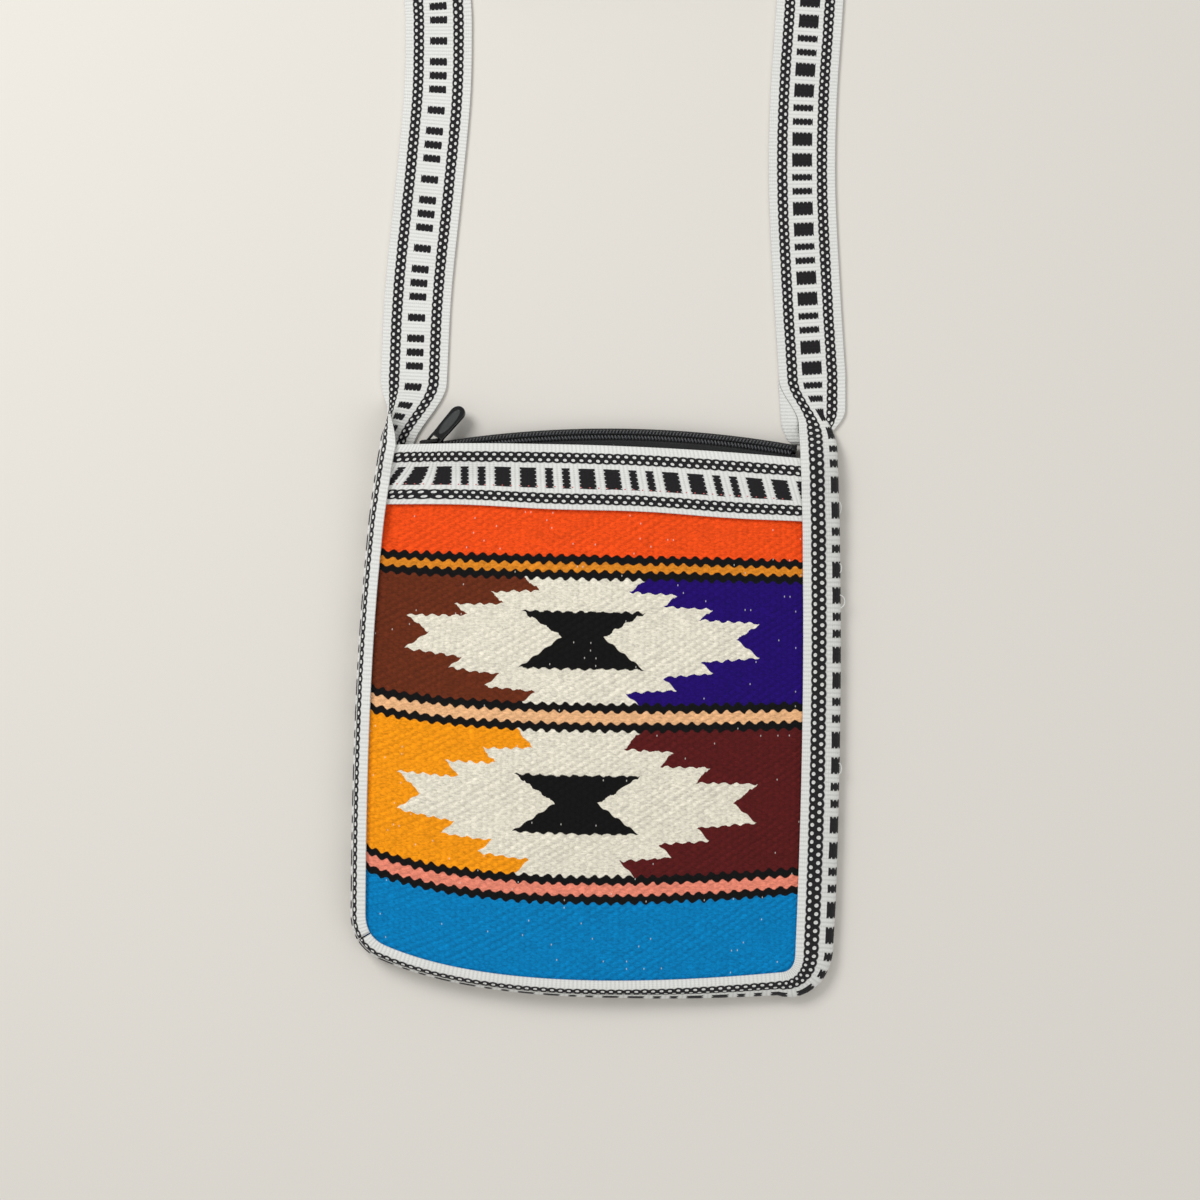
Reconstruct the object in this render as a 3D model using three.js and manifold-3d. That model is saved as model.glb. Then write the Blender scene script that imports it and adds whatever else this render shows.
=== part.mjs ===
// A small flat zip-top shoulder bag with woven panels, lying on its back.
// One long woven band is the gusset and the strap, and the strap's spare length is folded beyond the bag.
// Millimetres, +Z up, X across the bag, Y from its base towards the zip.
// The origin is on the surface that the bag lies on, under the middle of its back.
import * as THREE from "three";
import { mergeVertices } from "three/addons/utils/BufferGeometryUtils.js";
import Module from "manifold-3d";

// Cloth
const BAND_WIDTH = 30;
const BAND_THICKNESS = 1.5;
const PANEL_THICKNESS = 2.6;
const TAPE_THICKNESS = 0.7;
const SEAT_GAP = 0.3; // between two layers that are sewn together
const SELVEDGE_GAP = 0.5; // between the gusset's selvedge and what it laps
const HEM_GAP = 0.5; // between a zip tape and the band that it is sewn under
const SELVEDGE_LAP = 4.2; // the gusset's edge that lies flat on a panel
const SEAM_TUCK = 2.8; // how far panels and top bands reach under that edge

// The front, measured along its seams, and how it lies
const FRONT_WIDTH = 193;
const FRONT_HEIGHT = 236.5;
const SEAM_LEFT = -FRONT_WIDTH / 2 - 7.5;
const SEAM_RIGHT = SEAM_LEFT + FRONT_WIDTH;
const SEAM_TOP = 120.5;
const SEAM_BASE = SEAM_TOP - FRONT_HEIGHT;
const FRONT_LEAN = { left: 14, right: 2.5 }; // the sides lean in towards the zip
const SEAM_HEIGHT = 12; // the front panel's upper face at its edge, in the middle of the bag
const SIDE_SLOPE = -0.0155; // the right side lies lower than the left
const END_SLOPE = 0.006;
const FRONT_CROWN = 5;

// The back has slipped towards the zip and to the right, as a flat bag does when it is laid down
const BACK_SLIP = { left: 9, right: 8, base: 10, top: -2 };
const BACK_LEAN = { left: 11, right: -1 };

// The gusset's fold: how far it stands out from the front seam, along the seam's five curves
const FOLD_WIDTHS = [[0, 7], [0.3, 6.2], [2, 6.5], [2.6, 7.5], [3, 10], [3.6, 15], [4.1, 17], [5, 16.5]];
const FOLD_HEIGHT_SHARE = 0.45;
const SECTION_SHARES = [0, 0.14, 0.32, 0.5, 0.68, 0.86, 1];
const SEAM_STEPS = [32, 5, 26, 5, 34];
const BAND_ENDS_PLACE = 1.5; // the band's two sewn ends meet in the middle of the left base corner
const BAND_ENDS_GAP = 0.015;
const PLACE_STEP = 0.02; // the least step along a seam's curve

// The band across the top of each panel
const TOP_BAND_SHOWN = 25.8; // its height as it lies, less than its width because it slopes
const TOP_BAND_RISE = 2;
const TOP_BAND_DROP = 5.5; // lower at the right end
const TOP_BAND_BULGE = 1.2;
const SLIDER_HUMP = 2.8; // the band is lifted where the slider is parked behind it
const TOP_BAND_SINK = -0.6;
const PANEL_UNDER_BAND = 0.42; // the share of the band that lies on the panel
const HEM_PLACES = [0.76, 0.54]; // where the zip tape lies under the band, as shares of its height
const TOP_BAND_STEPS = 14;

// Zip: a chain on an arc, seen from its face, with the face turned up and away from the bag
const ZIP_INSET = { left: 9.5, right: 1.5 }; // from the front seam's top corners to the ends of the zip
const ZIP_BOW = 7.6;
const ZIP_RISE = 5.1; // the crest of the arc above the seam's top
const ZIP_HEIGHT = 7.5;
const ZIP_TURN = 0.873; // the face's turn from level outwards to straight up, in radians
const COIL_WIDTH = 2;
const COIL_HEIGHT = 1.8;
const CHAIN_GAP = 1.4; // between the two coils, where the slider's post runs
const TAPE_START = 0.2; // from the chain's gap to each tape's edge
const TAPE_BEYOND = 0.4; // each tape's flat part beyond the slider's side
const TAPE_RIB = 1.6; // from the slider's side in to the middle of that flat part
const BACK_HEM_PLACES = [2.4, -3, -10]; // along the back band, out from the chain's middle
const ZIP_STEPS = 22;

// Slider and pull tab
const SLIDER_INSET = 16; // from the front seam's top left corner
const SLIDER_LENGTH = 11;
const SLIDER_WALL = 1.1;
const SLIDER_CLEARANCE = 0.35;
const FLANGE_THICKNESS = 1.35;
const POST_THICKNESS = 0.8;
const ARCH_SPAN = 3.9; // between the arch's legs
const ARCH_LEG = 0.8;
const ARCH_WIDTH = 1.4;
const ARCH_ROOM = 2.15; // under the arch
const TAB_LENGTH = 22;
const TAB_WIDTH = 7.4;
const TAB_THICKNESS = 1.4;
const TAB_BAR = 0.9;
const TAB_RECESS = 0.35;
const EYE_LENGTH = 3.5;
const EYE_WIDTH = 5.3;
const TAB_TURN = 0.7; // to the side of the chain, in radians
const TAB_RAISE = 0.26;

// Strap: the legs' middle lines from the bag's top corners, and the folded spare length
const STRAP_REST = BAND_THICKNESS / 2;
const RIGHT_LEG = [[6.2, 37.7], [3.9, 74.6], [1.6, 124], [2.3, 165], [5.5, 215], [5.5, 248]];
const LEFT_LEG = [[6.9, 31.2], [9, 72.5], [13.7, 118.5], [17.5, 159.5], [18.2, 192], [17.5, 206]];
const HANK_RISE = 231.5; // the folded runs' middle line above the seam's top
const HANK_RUNS = 7;
const HANK_INSET = { left: 42.5, right: 49 }; // from the legs to the ends of the folded runs
const LAYER = BAND_THICKNESS + HEM_GAP;
const FOLD_CLEAR = 4; // from a slanting crease to the next straight row
const RAMP_SHARES = [0, 0.2, 0.4, 0.6, 0.8, 1];
const LEG_STEPS = 9;
const SPREAD_STEPS = 9;

const { lerp: mix, smoothstep: ease, clamp } = THREE.MathUtils;
const flat = (x, y) => new THREE.Vector2(x, y);
const at = (x, y, z) => new THREE.Vector3(x, y, z);
const material = (color, roughness, metalness = 0) =>
  new THREE.MeshStandardMaterial({ color, roughness, metalness });

const wool = material(0xd9793a, 0.95);
const bandCotton = material(0xd8d6d0, 0.9);
const zipCloth = material(0x1b1b1d, 0.85);
const zipNylon = material(0x17181a, 0.45);
const paintedMetal = material(0x0e0f10, 0.25, 0.3);

const wasm = await Module();
wasm.setup();

const solidOf = (geometry) => {
  const bare = geometry.clone();
  bare.deleteAttribute("normal");
  bare.deleteAttribute("uv");
  const merged = mergeVertices(bare, 1e-4);
  const triVerts = new Uint32Array(merged.index.array);
  const vertProperties = merged.attributes.position.array;
  return new wasm.Manifold(new wasm.Mesh({ numProp: 3, vertProperties, triVerts }));
};

const geometryOf = (solid) => {
  const mesh = solid.getMesh();
  const geometry = new THREE.BufferGeometry();
  geometry.setAttribute("position", new THREE.BufferAttribute(mesh.vertProperties, 3));
  geometry.setIndex(new THREE.BufferAttribute(mesh.triVerts, 1));
  geometry.computeVertexNormals();
  return geometry;
};

const geometryFrom = (points, triangles) => {
  const geometry = new THREE.BufferGeometry().setFromPoints(points);
  geometry.setIndex(triangles);
  geometry.computeVertexNormals();
  return geometry;
};

const named = (name, geometry, finish) => {
  const mesh = new THREE.Mesh(geometry, finish);
  mesh.name = name;
  return mesh;
};

// Cloth of even thickness about a grid of points, rows along it and columns across it.
function cloth(rows, thickness) {
  const rowCount = rows.length;
  const columnCount = rows[0].length;
  const upper = [];
  const lower = [];
  for (let i = 0; i < rowCount; i += 1) {
    for (let j = 0; j < columnCount; j += 1) {
      const along = rows[Math.min(i + 1, rowCount - 1)][j].clone().sub(rows[Math.max(i - 1, 0)][j]);
      const across = rows[i][Math.min(j + 1, columnCount - 1)].clone().sub(rows[i][Math.max(j - 1, 0)]);
      const half = across.cross(along).setLength(thickness / 2);
      upper.push(rows[i][j].clone().add(half));
      lower.push(rows[i][j].clone().sub(half));
    }
  }
  const under = upper.length;
  const triangles = [];
  for (let i = 0; i + 1 < rowCount; i += 1) {
    for (let j = 0; j + 1 < columnCount; j += 1) {
      const a = i * columnCount + j;
      const b = a + 1;
      const d = a + columnCount;
      const c = d + 1;
      triangles.push(a, b, c, a, c, d);
      triangles.push(under + a, under + c, under + b, under + a, under + d, under + c);
    }
  }
  const rim = [];
  for (let j = 0; j < columnCount - 1; j += 1) rim.push(j);
  for (let i = 0; i < rowCount - 1; i += 1) rim.push(i * columnCount + columnCount - 1);
  for (let j = columnCount - 1; j > 0; j -= 1) rim.push((rowCount - 1) * columnCount + j);
  for (let i = rowCount - 1; i > 0; i -= 1) rim.push(i * columnCount);
  rim.forEach((u, k) => {
    const v = rim[(k + 1) % rim.length];
    triangles.push(v, u, under + u, v, under + u, under + v);
  });
  return geometryFrom([...upper, ...lower], triangles);
}

// A bar whose section is carried from ring to ring, closed at both ends.
function bar(rings) {
  const sides = rings[0].length;
  const triangles = [];
  for (let i = 0; i + 1 < rings.length; i += 1) {
    for (let j = 0; j < sides; j += 1) {
      const a = i * sides + j;
      const b = i * sides + ((j + 1) % sides);
      triangles.push(a, b, b + sides, a, b + sides, a + sides);
    }
  }
  const last = (rings.length - 1) * sides;
  for (let j = 1; j + 1 < sides; j += 1) {
    triangles.push(0, j + 1, j);
    triangles.push(last, last + j, last + j + 1);
  }
  return geometryFrom(rings.flat(), triangles);
}

// Seams: left side, left corner, base, right corner and right side of a panel, from its top left
function seamCurves(left, right, top, base, lean) {
  const seam = new THREE.Path();
  seam.moveTo(left + lean.left, top);
  seam.quadraticCurveTo(left + 1, mix(top, base, 0.25), left, base + 28);
  seam.quadraticCurveTo(left - 0.5, base + 16, left + 10, base + 12);
  seam.quadraticCurveTo(left + 64, base - 11, right - 7, base);
  seam.quadraticCurveTo(right, base, right + 0.3, base + 8);
  seam.quadraticCurveTo(right + 6, mix(top, base, 0.42), right + lean.right, top - TOP_BAND_DROP);
  return seam.curves;
}

const frontSeam = seamCurves(SEAM_LEFT, SEAM_RIGHT, SEAM_TOP, SEAM_BASE, FRONT_LEAN);
const backSeam = seamCurves(
  SEAM_LEFT + BACK_SLIP.left,
  SEAM_RIGHT + BACK_SLIP.right,
  SEAM_TOP + BACK_SLIP.top,
  SEAM_BASE + BACK_SLIP.base,
  BACK_LEAN,
);

// A point on a seam, or outside it by some distance. Place 2.5 is the middle of the third curve.
function seamPoint(seam, place, outside = 0) {
  const index = Math.min(Math.floor(place), seam.length - 1);
  const point = seam[index].getPointAt(place - index);
  const tangent = seam[index].getTangentAt(place - index);
  return point.add(flat(tangent.y, -tangent.x).multiplyScalar(outside));
}

const sidePlace = (seam, index, y) => {
  const side = seam[index];
  const share = index ? side.getPoint(1).y - y : side.getPoint(0).y - y;
  return index ? index + 1 - share / side.getLength() : share / side.getLength();
};

const seamEdge = (seam, from, to, outside) => {
  const points = [];
  const steps = 40;
  for (let i = 0; i <= steps; i += 1) points.push(seamPoint(seam, mix(from, to, i / steps), outside));
  return new THREE.SplineCurve(points);
};

// Top bands: a lower and an upper edge from side to side, reaching under the gusset's selvedge
function topBandEdges(seam) {
  const left = seam[0].getPoint(0);
  const right = seam[4].getPoint(1);
  const edge = (drop, middleRise) => {
    const start = seamPoint(seam, sidePlace(seam, 0, left.y - drop), SEAM_TUCK);
    const end = seamPoint(seam, sidePlace(seam, 4, right.y - drop), SEAM_TUCK);
    const middle = flat((start.x + end.x) / 2, (start.y + end.y) / 2 + middleRise);
    return new THREE.QuadraticBezierCurve(start, middle, end);
  };
  return { upper: edge(0, TOP_BAND_RISE * 3), lower: edge(TOP_BAND_SHOWN, TOP_BAND_RISE * 2) };
}

const frontBandEdges = topBandEdges(frontSeam);
const backBandEdges = topBandEdges(backSeam);
const onBand = (edges, share, height) =>
  edges.lower.getPoint(share).lerp(edges.upper.getPoint(share), height);

// Panels: a patch between a top edge and the two sides and base of a seam
function panelPatch(seam, edges) {
  const topLeft = sidePlace(seam, 0, onBand(edges, 0, PANEL_UNDER_BAND).y);
  const topRight = sidePlace(seam, 4, onBand(edges, 1, PANEL_UNDER_BAND).y);
  const left = seamEdge(seam, topLeft, 1.5, SEAM_TUCK);
  const base = seamEdge(seam, 1.5, 3.5, SEAM_TUCK);
  const right = seamEdge(seam, topRight, 3.5, SEAM_TUCK);
  const corners = [left.getPoint(0), right.getPoint(0), left.getPoint(1), right.getPoint(1)];
  const middle = onBand(edges, 0.5, PANEL_UNDER_BAND);
  const bow = middle.clone().multiplyScalar(2).sub(corners[0].clone().add(corners[1]).multiplyScalar(0.5));
  const top = new THREE.QuadraticBezierCurve(corners[0], bow, corners[1]);
  return (s, t) => {
    const sides = left.getPointAt(t).lerp(right.getPointAt(t), s);
    const ends = top.getPointAt(s).lerp(base.getPointAt(s), t);
    const upperMix = corners[0].clone().lerp(corners[1], s);
    const lowerMix = corners[2].clone().lerp(corners[3], s);
    return sides.add(ends).sub(upperMix.lerp(lowerMix, t));
  };
}

// Shares across a panel: narrow steps along its edges, where it lies under the selvedge
const PANEL_EDGE = { full: 0.025, clear: 0.075 };
const PANEL_ON_BAND = { full: 0.085, clear: 0.14 };
const BAND_END_FLAT = 3.474; // the top bands' ends on the selvedge, and where they reach the surface
const BAND_END_CLEAR = 6.562;
const BAND_END = { full: BAND_END_FLAT / FRONT_WIDTH, clear: BAND_END_CLEAR / FRONT_WIDTH };
function edgedShares(steps, edge) {
  const shares = [0, edge.full];
  for (let i = 0; i <= steps; i += 1) shares.push(mix(edge.clear, 1 - edge.clear, i / steps));
  shares.push(1 - edge.full, 1);
  return shares;
}

const topPlane = (x, y) => SEAM_HEIGHT + SIDE_SLOPE * x + END_SLOPE * y;
const pillow = (share, margin) => Math.sin(Math.PI * clamp((share - margin) / (1 - margin - 0.025), 0, 1));
const frontCrown = (s, t) => FRONT_CROWN * pillow(s, 0.025) ** 0.8 * pillow(t, 0.13) ** 0.8;

function frontPanel() {
  const patch = panelPatch(frontSeam, frontBandEdges);
  const rows = edgedShares(12, PANEL_EDGE).map((s) =>
    edgedShares(12, PANEL_EDGE).map((t) => {
      const { x, y } = patch(s, t);
      return at(x, y, topPlane(x, y) - PANEL_THICKNESS / 2 + frontCrown(s, t));
    }),
  );
  return cloth(rows.reverse(), PANEL_THICKNESS);
}

// The back lies flat on the surface, lifted at its edges by the selvedge and the top band beneath it
const LAYER_LIFT = BAND_THICKNESS + SELVEDGE_GAP;
const edgeLift = (share, edge) => LAYER_LIFT * (1 - ease(Math.min(share, 1 - share), edge.full, edge.clear));

function backPanel() {
  const patch = panelPatch(backSeam, backBandEdges);
  const lift = (s, t) => {
    const side = edgeLift(s, PANEL_EDGE);
    return t < 0.5 ? side + edgeLift(t, PANEL_ON_BAND) : Math.max(side, edgeLift(t, PANEL_EDGE));
  };
  const rows = edgedShares(12, PANEL_EDGE).map((s) =>
    edgedShares(12, PANEL_EDGE).map((t) => {
      const { x, y } = patch(s, t);
      return at(x, y, PANEL_THICKNESS / 2 + lift(s, t));
    }),
  );
  return cloth(rows.reverse(), PANEL_THICKNESS);
}

// The front band lies on the panel, then bulges over the zip and is lifted where the slider is parked
const bandRise = (x, height) => {
  const free = clamp((height - PANEL_UNDER_BAND) / (1 - PANEL_UNDER_BAND), 0, 1);
  const lift = mix(SLIDER_HUMP, TOP_BAND_SINK, ease(x, SEAM_LEFT + 44, SEAM_LEFT + 84));
  return TOP_BAND_BULGE * Math.sin(Math.PI * free) + lift * ease(free, 0, 1);
};
const bandMiddle = (x, y, height) => topPlane(x, y) + SEAT_GAP + BAND_THICKNESS / 2 + bandRise(x, height);

const bandShares = [0, 0.21, 0.42, 0.56, 0.71, 0.86, 1];
const bandPlaces = edgedShares(TOP_BAND_STEPS, BAND_END);

function frontTopBand() {
  const rows = bandPlaces.map((share) =>
    bandShares.map((height) => {
      const { x, y } = onBand(frontBandEdges, share, height);
      return at(x, y, bandMiddle(x, y, height));
    }),
  );
  return cloth(rows.map((row) => row.reverse()), BAND_THICKNESS);
}

function backTopBand() {
  const rows = bandPlaces.map((share) =>
    bandShares.map((height) => {
      const { x, y } = onBand(backBandEdges, share, height);
      return at(x, y, BAND_THICKNESS / 2 + edgeLift(share, BAND_END));
    }),
  );
  return cloth(rows.map((row) => row.reverse()), BAND_THICKNESS);
}

// The height on which the gusset's front selvedge rests: the panel, or the top band's end
function selvedgeRest(point, edges, share) {
  const low = edges.lower.getPoint(share).y;
  const high = edges.upper.getPoint(share).y;
  const height = (point.y - low) / (high - low);
  const lift = LAYER_LIFT * ease(height, -0.8, -0.3);
  return topPlane(point.x, point.y) + lift + bandRise(point.x, height);
}

function foldWidth(place) {
  const next = FOLD_WIDTHS.findIndex(([start]) => start >= place);
  if (next <= 0) return FOLD_WIDTHS[0][1];
  const [startA, widthA] = FOLD_WIDTHS[next - 1];
  const [startB, widthB] = FOLD_WIDTHS[next];
  return mix(widthA, widthB, (place - startA) / (startB - startA));
}

// The band around the bag's edge: on the front panel, out to its fold, and back under to the back panel
function gussetSection(place) {
  const front = seamPoint(frontSeam, place);
  const rest = selvedgeRest(front, frontBandEdges, place < 2.5 ? 0 : 1);
  const top = rest + SELVEDGE_GAP + BAND_THICKNESS / 2;
  const fold = foldWidth(place);
  const foldHeight = top * FOLD_HEIGHT_SHARE;
  const lapped = seamPoint(frontSeam, place, SELVEDGE_LAP);
  const shoulder = seamPoint(frontSeam, place, mix(SELVEDGE_LAP, fold, 0.62));
  const crease = seamPoint(frontSeam, place, fold);
  const backEdge = seamPoint(backSeam, place);
  const backLapped = seamPoint(backSeam, place, SELVEDGE_LAP);
  const under = crease.clone().lerp(backLapped, 0.5);
  return [
    at(front.x, front.y, top),
    at(lapped.x, lapped.y, top - 0.3),
    at(shoulder.x, shoulder.y, mix(top, foldHeight, 0.45)),
    at(crease.x, crease.y, foldHeight),
    at(under.x, under.y, mix(STRAP_REST, foldHeight, 0.3)),
    at(backLapped.x, backLapped.y, STRAP_REST),
    at(backEdge.x, backEdge.y, STRAP_REST),
  ];
}

function gussetRows(from, to) {
  const places = [from];
  SEAM_STEPS.forEach((steps, index) => {
    for (let i = 0; i < steps; i += 1) places.push(index + i / steps);
  });
  places.push(to);
  const isEnd = (place) => place === from || place === to;
  const isBetween = (place) => place > from + PLACE_STEP && place < to - PLACE_STEP;
  return places.filter((place) => isEnd(place) || isBetween(place)).map(gussetSection);
}

// A straight row of the flat strap. The way across it may slant, for a crease across a corner.
const strapRow = (x, y, z, across = flat(1, 0)) =>
  SECTION_SHARES.map((share) => {
    const reach = (share - 0.5) * BAND_WIDTH;
    return at(x + reach * across.x, y + reach * across.y, z);
  });

// Rows round a fold of the strap, from one layer to the layer above it
function foldRows(x, y, z, across, outwards) {
  return [0, 1, 2, 3, 4].map((quarter) => {
    const angle = (quarter * Math.PI) / 4;
    const reach = (Math.sin(angle) * LAYER) / 2;
    const rise = ((1 - Math.cos(angle)) * LAYER) / 2;
    return strapRow(x + reach * outwards.x, y + reach * outwards.y, z + rise, across);
  });
}

function legRows(corner, offsets) {
  const middle = new THREE.SplineCurve(offsets.map(([x, y]) => flat(corner.x + x, corner.y + y)));
  const rows = [];
  for (let i = 0; i <= LEG_STEPS; i += 1) {
    const { x, y } = middle.getPointAt(i / LEG_STEPS);
    const along = middle.getTangentAt(i / LEG_STEPS);
    rows.push(strapRow(x, y, STRAP_REST, flat(along.y, -along.x)));
  }
  return rows;
}

// The gusset opens out into the flat strap. Its back half may open, and it may sink, sooner than the rest.
function spreadRows(section, flatRow, backLead, sinkLead) {
  const rows = [];
  for (let i = 1; i < SPREAD_STEPS; i += 1) {
    const along = i / SPREAD_STEPS;
    const row = section.map((point, j) => {
      const open = ease(along * (j > 3 ? backLead : 1), 0, 1);
      const sunk = ease(along * sinkLead, 0, 1);
      const next = flatRow[j];
      return at(mix(point.x, next.x, open), mix(point.y, next.y, along), mix(point.z, next.z, sunk));
    });
    rows.push(row);
  }
  return rows;
}

// The spare length: a turn at each corner, and runs folded to and fro between them
function hankRows(rightX, leftX, middleY) {
  const up = flat(0, 1);
  const slant = flat(1, 1);
  const bend = flat(Math.SQRT1_2, -Math.SQRT1_2);
  const half = BAND_WIDTH / 2;
  const runRight = rightX - HANK_INSET.right;
  const runLeft = leftX + HANK_INSET.left;
  const rows = [];
  rows.push(...foldRows(rightX, middleY + half + FOLD_CLEAR, STRAP_REST, flat(1, 0), up));
  rows.push(...foldRows(rightX, middleY, STRAP_REST + LAYER, slant, bend));
  const overLegs = STRAP_REST + 2 * LAYER;
  const dropFrom = rightX - half - FOLD_CLEAR;
  const dropTo = runRight + FOLD_CLEAR + LAYER;
  for (const share of RAMP_SHARES) {
    const height = mix(overLegs, STRAP_REST, ease(share, 0, 1));
    rows.push(strapRow(mix(dropFrom, dropTo, share), middleY, height, up));
  }
  for (let run = 1; run < HANK_RUNS; run += 1) {
    const leftEnd = run % 2 === 1;
    const height = STRAP_REST + (run - 1) * LAYER;
    rows.push(...foldRows(leftEnd ? runLeft : runRight, middleY, height, up, flat(leftEnd ? -1 : 1, 0)));
  }
  const topRun = STRAP_REST + (HANK_RUNS - 1) * LAYER;
  const fallFrom = runLeft - LAYER;
  const fallTo = leftX + half + FOLD_CLEAR;
  for (const share of RAMP_SHARES) {
    const height = mix(topRun, STRAP_REST, ease(share, 0, 1));
    rows.push(strapRow(mix(fallFrom, fallTo, share), middleY, height, up));
  }
  rows.push(...foldRows(leftX, middleY, STRAP_REST, slant, bend.clone().negate()));
  rows.push(strapRow(leftX, middleY - half - FOLD_CLEAR, STRAP_REST + LAYER));
  return rows;
}

function strapBand() {
  const rightCorner = frontSeam[4].getPoint(1);
  const leftCorner = frontSeam[0].getPoint(0);
  const rightLeg = legRows(rightCorner, RIGHT_LEG);
  const leftLeg = legRows(leftCorner, LEFT_LEG);
  const rightGusset = gussetRows(BAND_ENDS_PLACE + BAND_ENDS_GAP, frontSeam.length);
  const leftGusset = gussetRows(0, BAND_ENDS_PLACE - BAND_ENDS_GAP);
  const rightX = rightCorner.x + RIGHT_LEG.at(-1)[0];
  const leftX = leftCorner.x + LEFT_LEG.at(-1)[0];
  const rows = [
    ...rightGusset,
    ...spreadRows(rightGusset.at(-1), rightLeg[0], 1.6, 1.9),
    ...rightLeg,
    ...hankRows(rightX, leftX, SEAM_TOP + HANK_RISE),
    ...leftLeg.toReversed(),
    ...spreadRows(leftGusset[0], leftLeg[0], 1, 1.3).reverse(),
    ...leftGusset,
  ];
  return cloth(rows, BAND_THICKNESS);
}

// Zip: places along the arc, with directions along the chain, across it and out of its face
const zipLeft = frontSeam[0].getPoint(0).x + ZIP_INSET.left;
const zipRight = frontSeam[4].getPoint(1).x - ZIP_INSET.right;
const zipHalf = (zipRight - zipLeft) / 2;
const zipRadius = (zipHalf ** 2 + ZIP_BOW ** 2) / (2 * ZIP_BOW);
const zipCentre = flat((zipLeft + zipRight) / 2, SEAM_TOP + ZIP_RISE - zipRadius);

function zipFrame(x) {
  const angle = Math.asin((x - zipCentre.x) / zipRadius);
  const along = at(Math.cos(angle), -Math.sin(angle), 0);
  const radial = at(Math.sin(angle), Math.cos(angle), 0);
  const across = radial.clone().multiplyScalar(Math.sin(ZIP_TURN)).add(at(0, 0, -Math.cos(ZIP_TURN)));
  const face = radial.clone().multiplyScalar(Math.cos(ZIP_TURN)).add(at(0, 0, Math.sin(ZIP_TURN)));
  const origin = at(zipCentre.x, zipCentre.y, ZIP_HEIGHT).addScaledVector(radial, zipRadius);
  return { along, radial, across, face, origin };
}

const zipPoint = (frame, across, face) =>
  frame.origin.clone().addScaledVector(frame.across, across).addScaledVector(frame.face, face);

const zipPlaces = (from, to) => {
  const places = [];
  for (let i = 0; i <= ZIP_STEPS; i += 1) places.push(mix(from, to, i / ZIP_STEPS));
  return places;
};

function frontTape() {
  const bandLeft = frontBandEdges.upper.getPoint(0).x;
  const bandRight = frontBandEdges.upper.getPoint(1).x;
  const rows = zipPlaces(zipLeft, zipRight).map((x) => {
    const frame = zipFrame(x);
    const share = (x - bandLeft) / (bandRight - bandLeft);
    const hem = HEM_PLACES.map((height) => {
      const { y } = onBand(frontBandEdges, share, height);
      return at(x, y, bandMiddle(x, y, height) - BAND_THICKNESS / 2 - HEM_GAP - TAPE_THICKNESS / 2);
    });
    const flatPart = tapePlaces.map((place) => zipPoint(frame, -place, -TAPE_THICKNESS / 2));
    return [...flatPart, ...hem];
  });
  return cloth(rows, TAPE_THICKNESS);
}

function backTape() {
  const hemHeight = BAND_THICKNESS + SEAT_GAP + TAPE_THICKNESS / 2;
  const rows = zipPlaces(zipLeft, zipRight).map((x) => {
    const frame = zipFrame(x);
    const flatPart = tapePlaces.map((place) => zipPoint(frame, place, -TAPE_THICKNESS / 2));
    const hem = BACK_HEM_PLACES.map((radial) => {
      const point = frame.origin.clone().addScaledVector(frame.radial, radial);
      return point.setZ(hemHeight);
    });
    return [...flatPart, ...hem].reverse();
  });
  return cloth(rows, TAPE_THICKNESS);
}

function coil(side) {
  const sides = 8;
  const middle = side * (CHAIN_GAP + COIL_WIDTH) / 2;
  const rings = zipPlaces(zipLeft + 1, zipRight - 1).map((x) => {
    const frame = zipFrame(x);
    const ring = [];
    for (let j = 0; j < sides; j += 1) {
      const angle = (2 * Math.PI * j) / sides;
      const across = middle + (COIL_WIDTH / 2) * Math.cos(angle);
      ring.push(zipPoint(frame, across, SEAT_GAP + (COIL_HEIGHT / 2) * (1 + Math.sin(angle))));
    }
    return ring;
  });
  return bar(rings);
}

// Slider, in the chain's own directions: along it, across it and out of its face
const wingHalf = CHAIN_GAP / 2 + COIL_WIDTH + SLIDER_CLEARANCE + FLANGE_THICKNESS;
const outerWing = SEAT_GAP + COIL_HEIGHT + SLIDER_CLEARANCE;
const innerWing = -TAPE_THICKNESS - SLIDER_CLEARANCE;
const wingTop = outerWing + SLIDER_WALL;
const pivotHeight = wingTop + ARCH_ROOM / 2;
const tapePlaces = [CHAIN_GAP / 2 + TAPE_START, wingHalf - TAPE_RIB, wingHalf + TAPE_BEYOND];

const plate = (outline, depth) =>
  new THREE.ExtrudeGeometry(outline, { depth, bevelEnabled: false, curveSegments: 8 });

function block(from, to) {
  const size = to.clone().sub(from);
  const middle = from.clone().add(to).multiplyScalar(0.5);
  return new THREE.BoxGeometry(size.x, size.y, size.z).translate(middle.x, middle.y, middle.z);
}

function wing(bottom) {
  const half = SLIDER_LENGTH / 2;
  const outline = new THREE.Shape();
  outline.moveTo(-half + 1.5, -wingHalf);
  outline.lineTo(half - 1, -wingHalf + 0.5);
  outline.quadraticCurveTo(half, -wingHalf + 0.5, half, -wingHalf + 1.5);
  outline.lineTo(half, wingHalf - 1.5);
  outline.quadraticCurveTo(half, wingHalf - 0.5, half - 1, wingHalf - 0.5);
  outline.lineTo(-half + 1.5, wingHalf);
  outline.quadraticCurveTo(-half, wingHalf, -half, wingHalf - 1.5);
  outline.quadraticCurveTo(-half + 1.2, 0, -half, -wingHalf + 1.5);
  outline.quadraticCurveTo(-half, -wingHalf, -half + 1.5, -wingHalf);
  return plate(outline, SLIDER_WALL).translate(0, 0, bottom);
}

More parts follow.
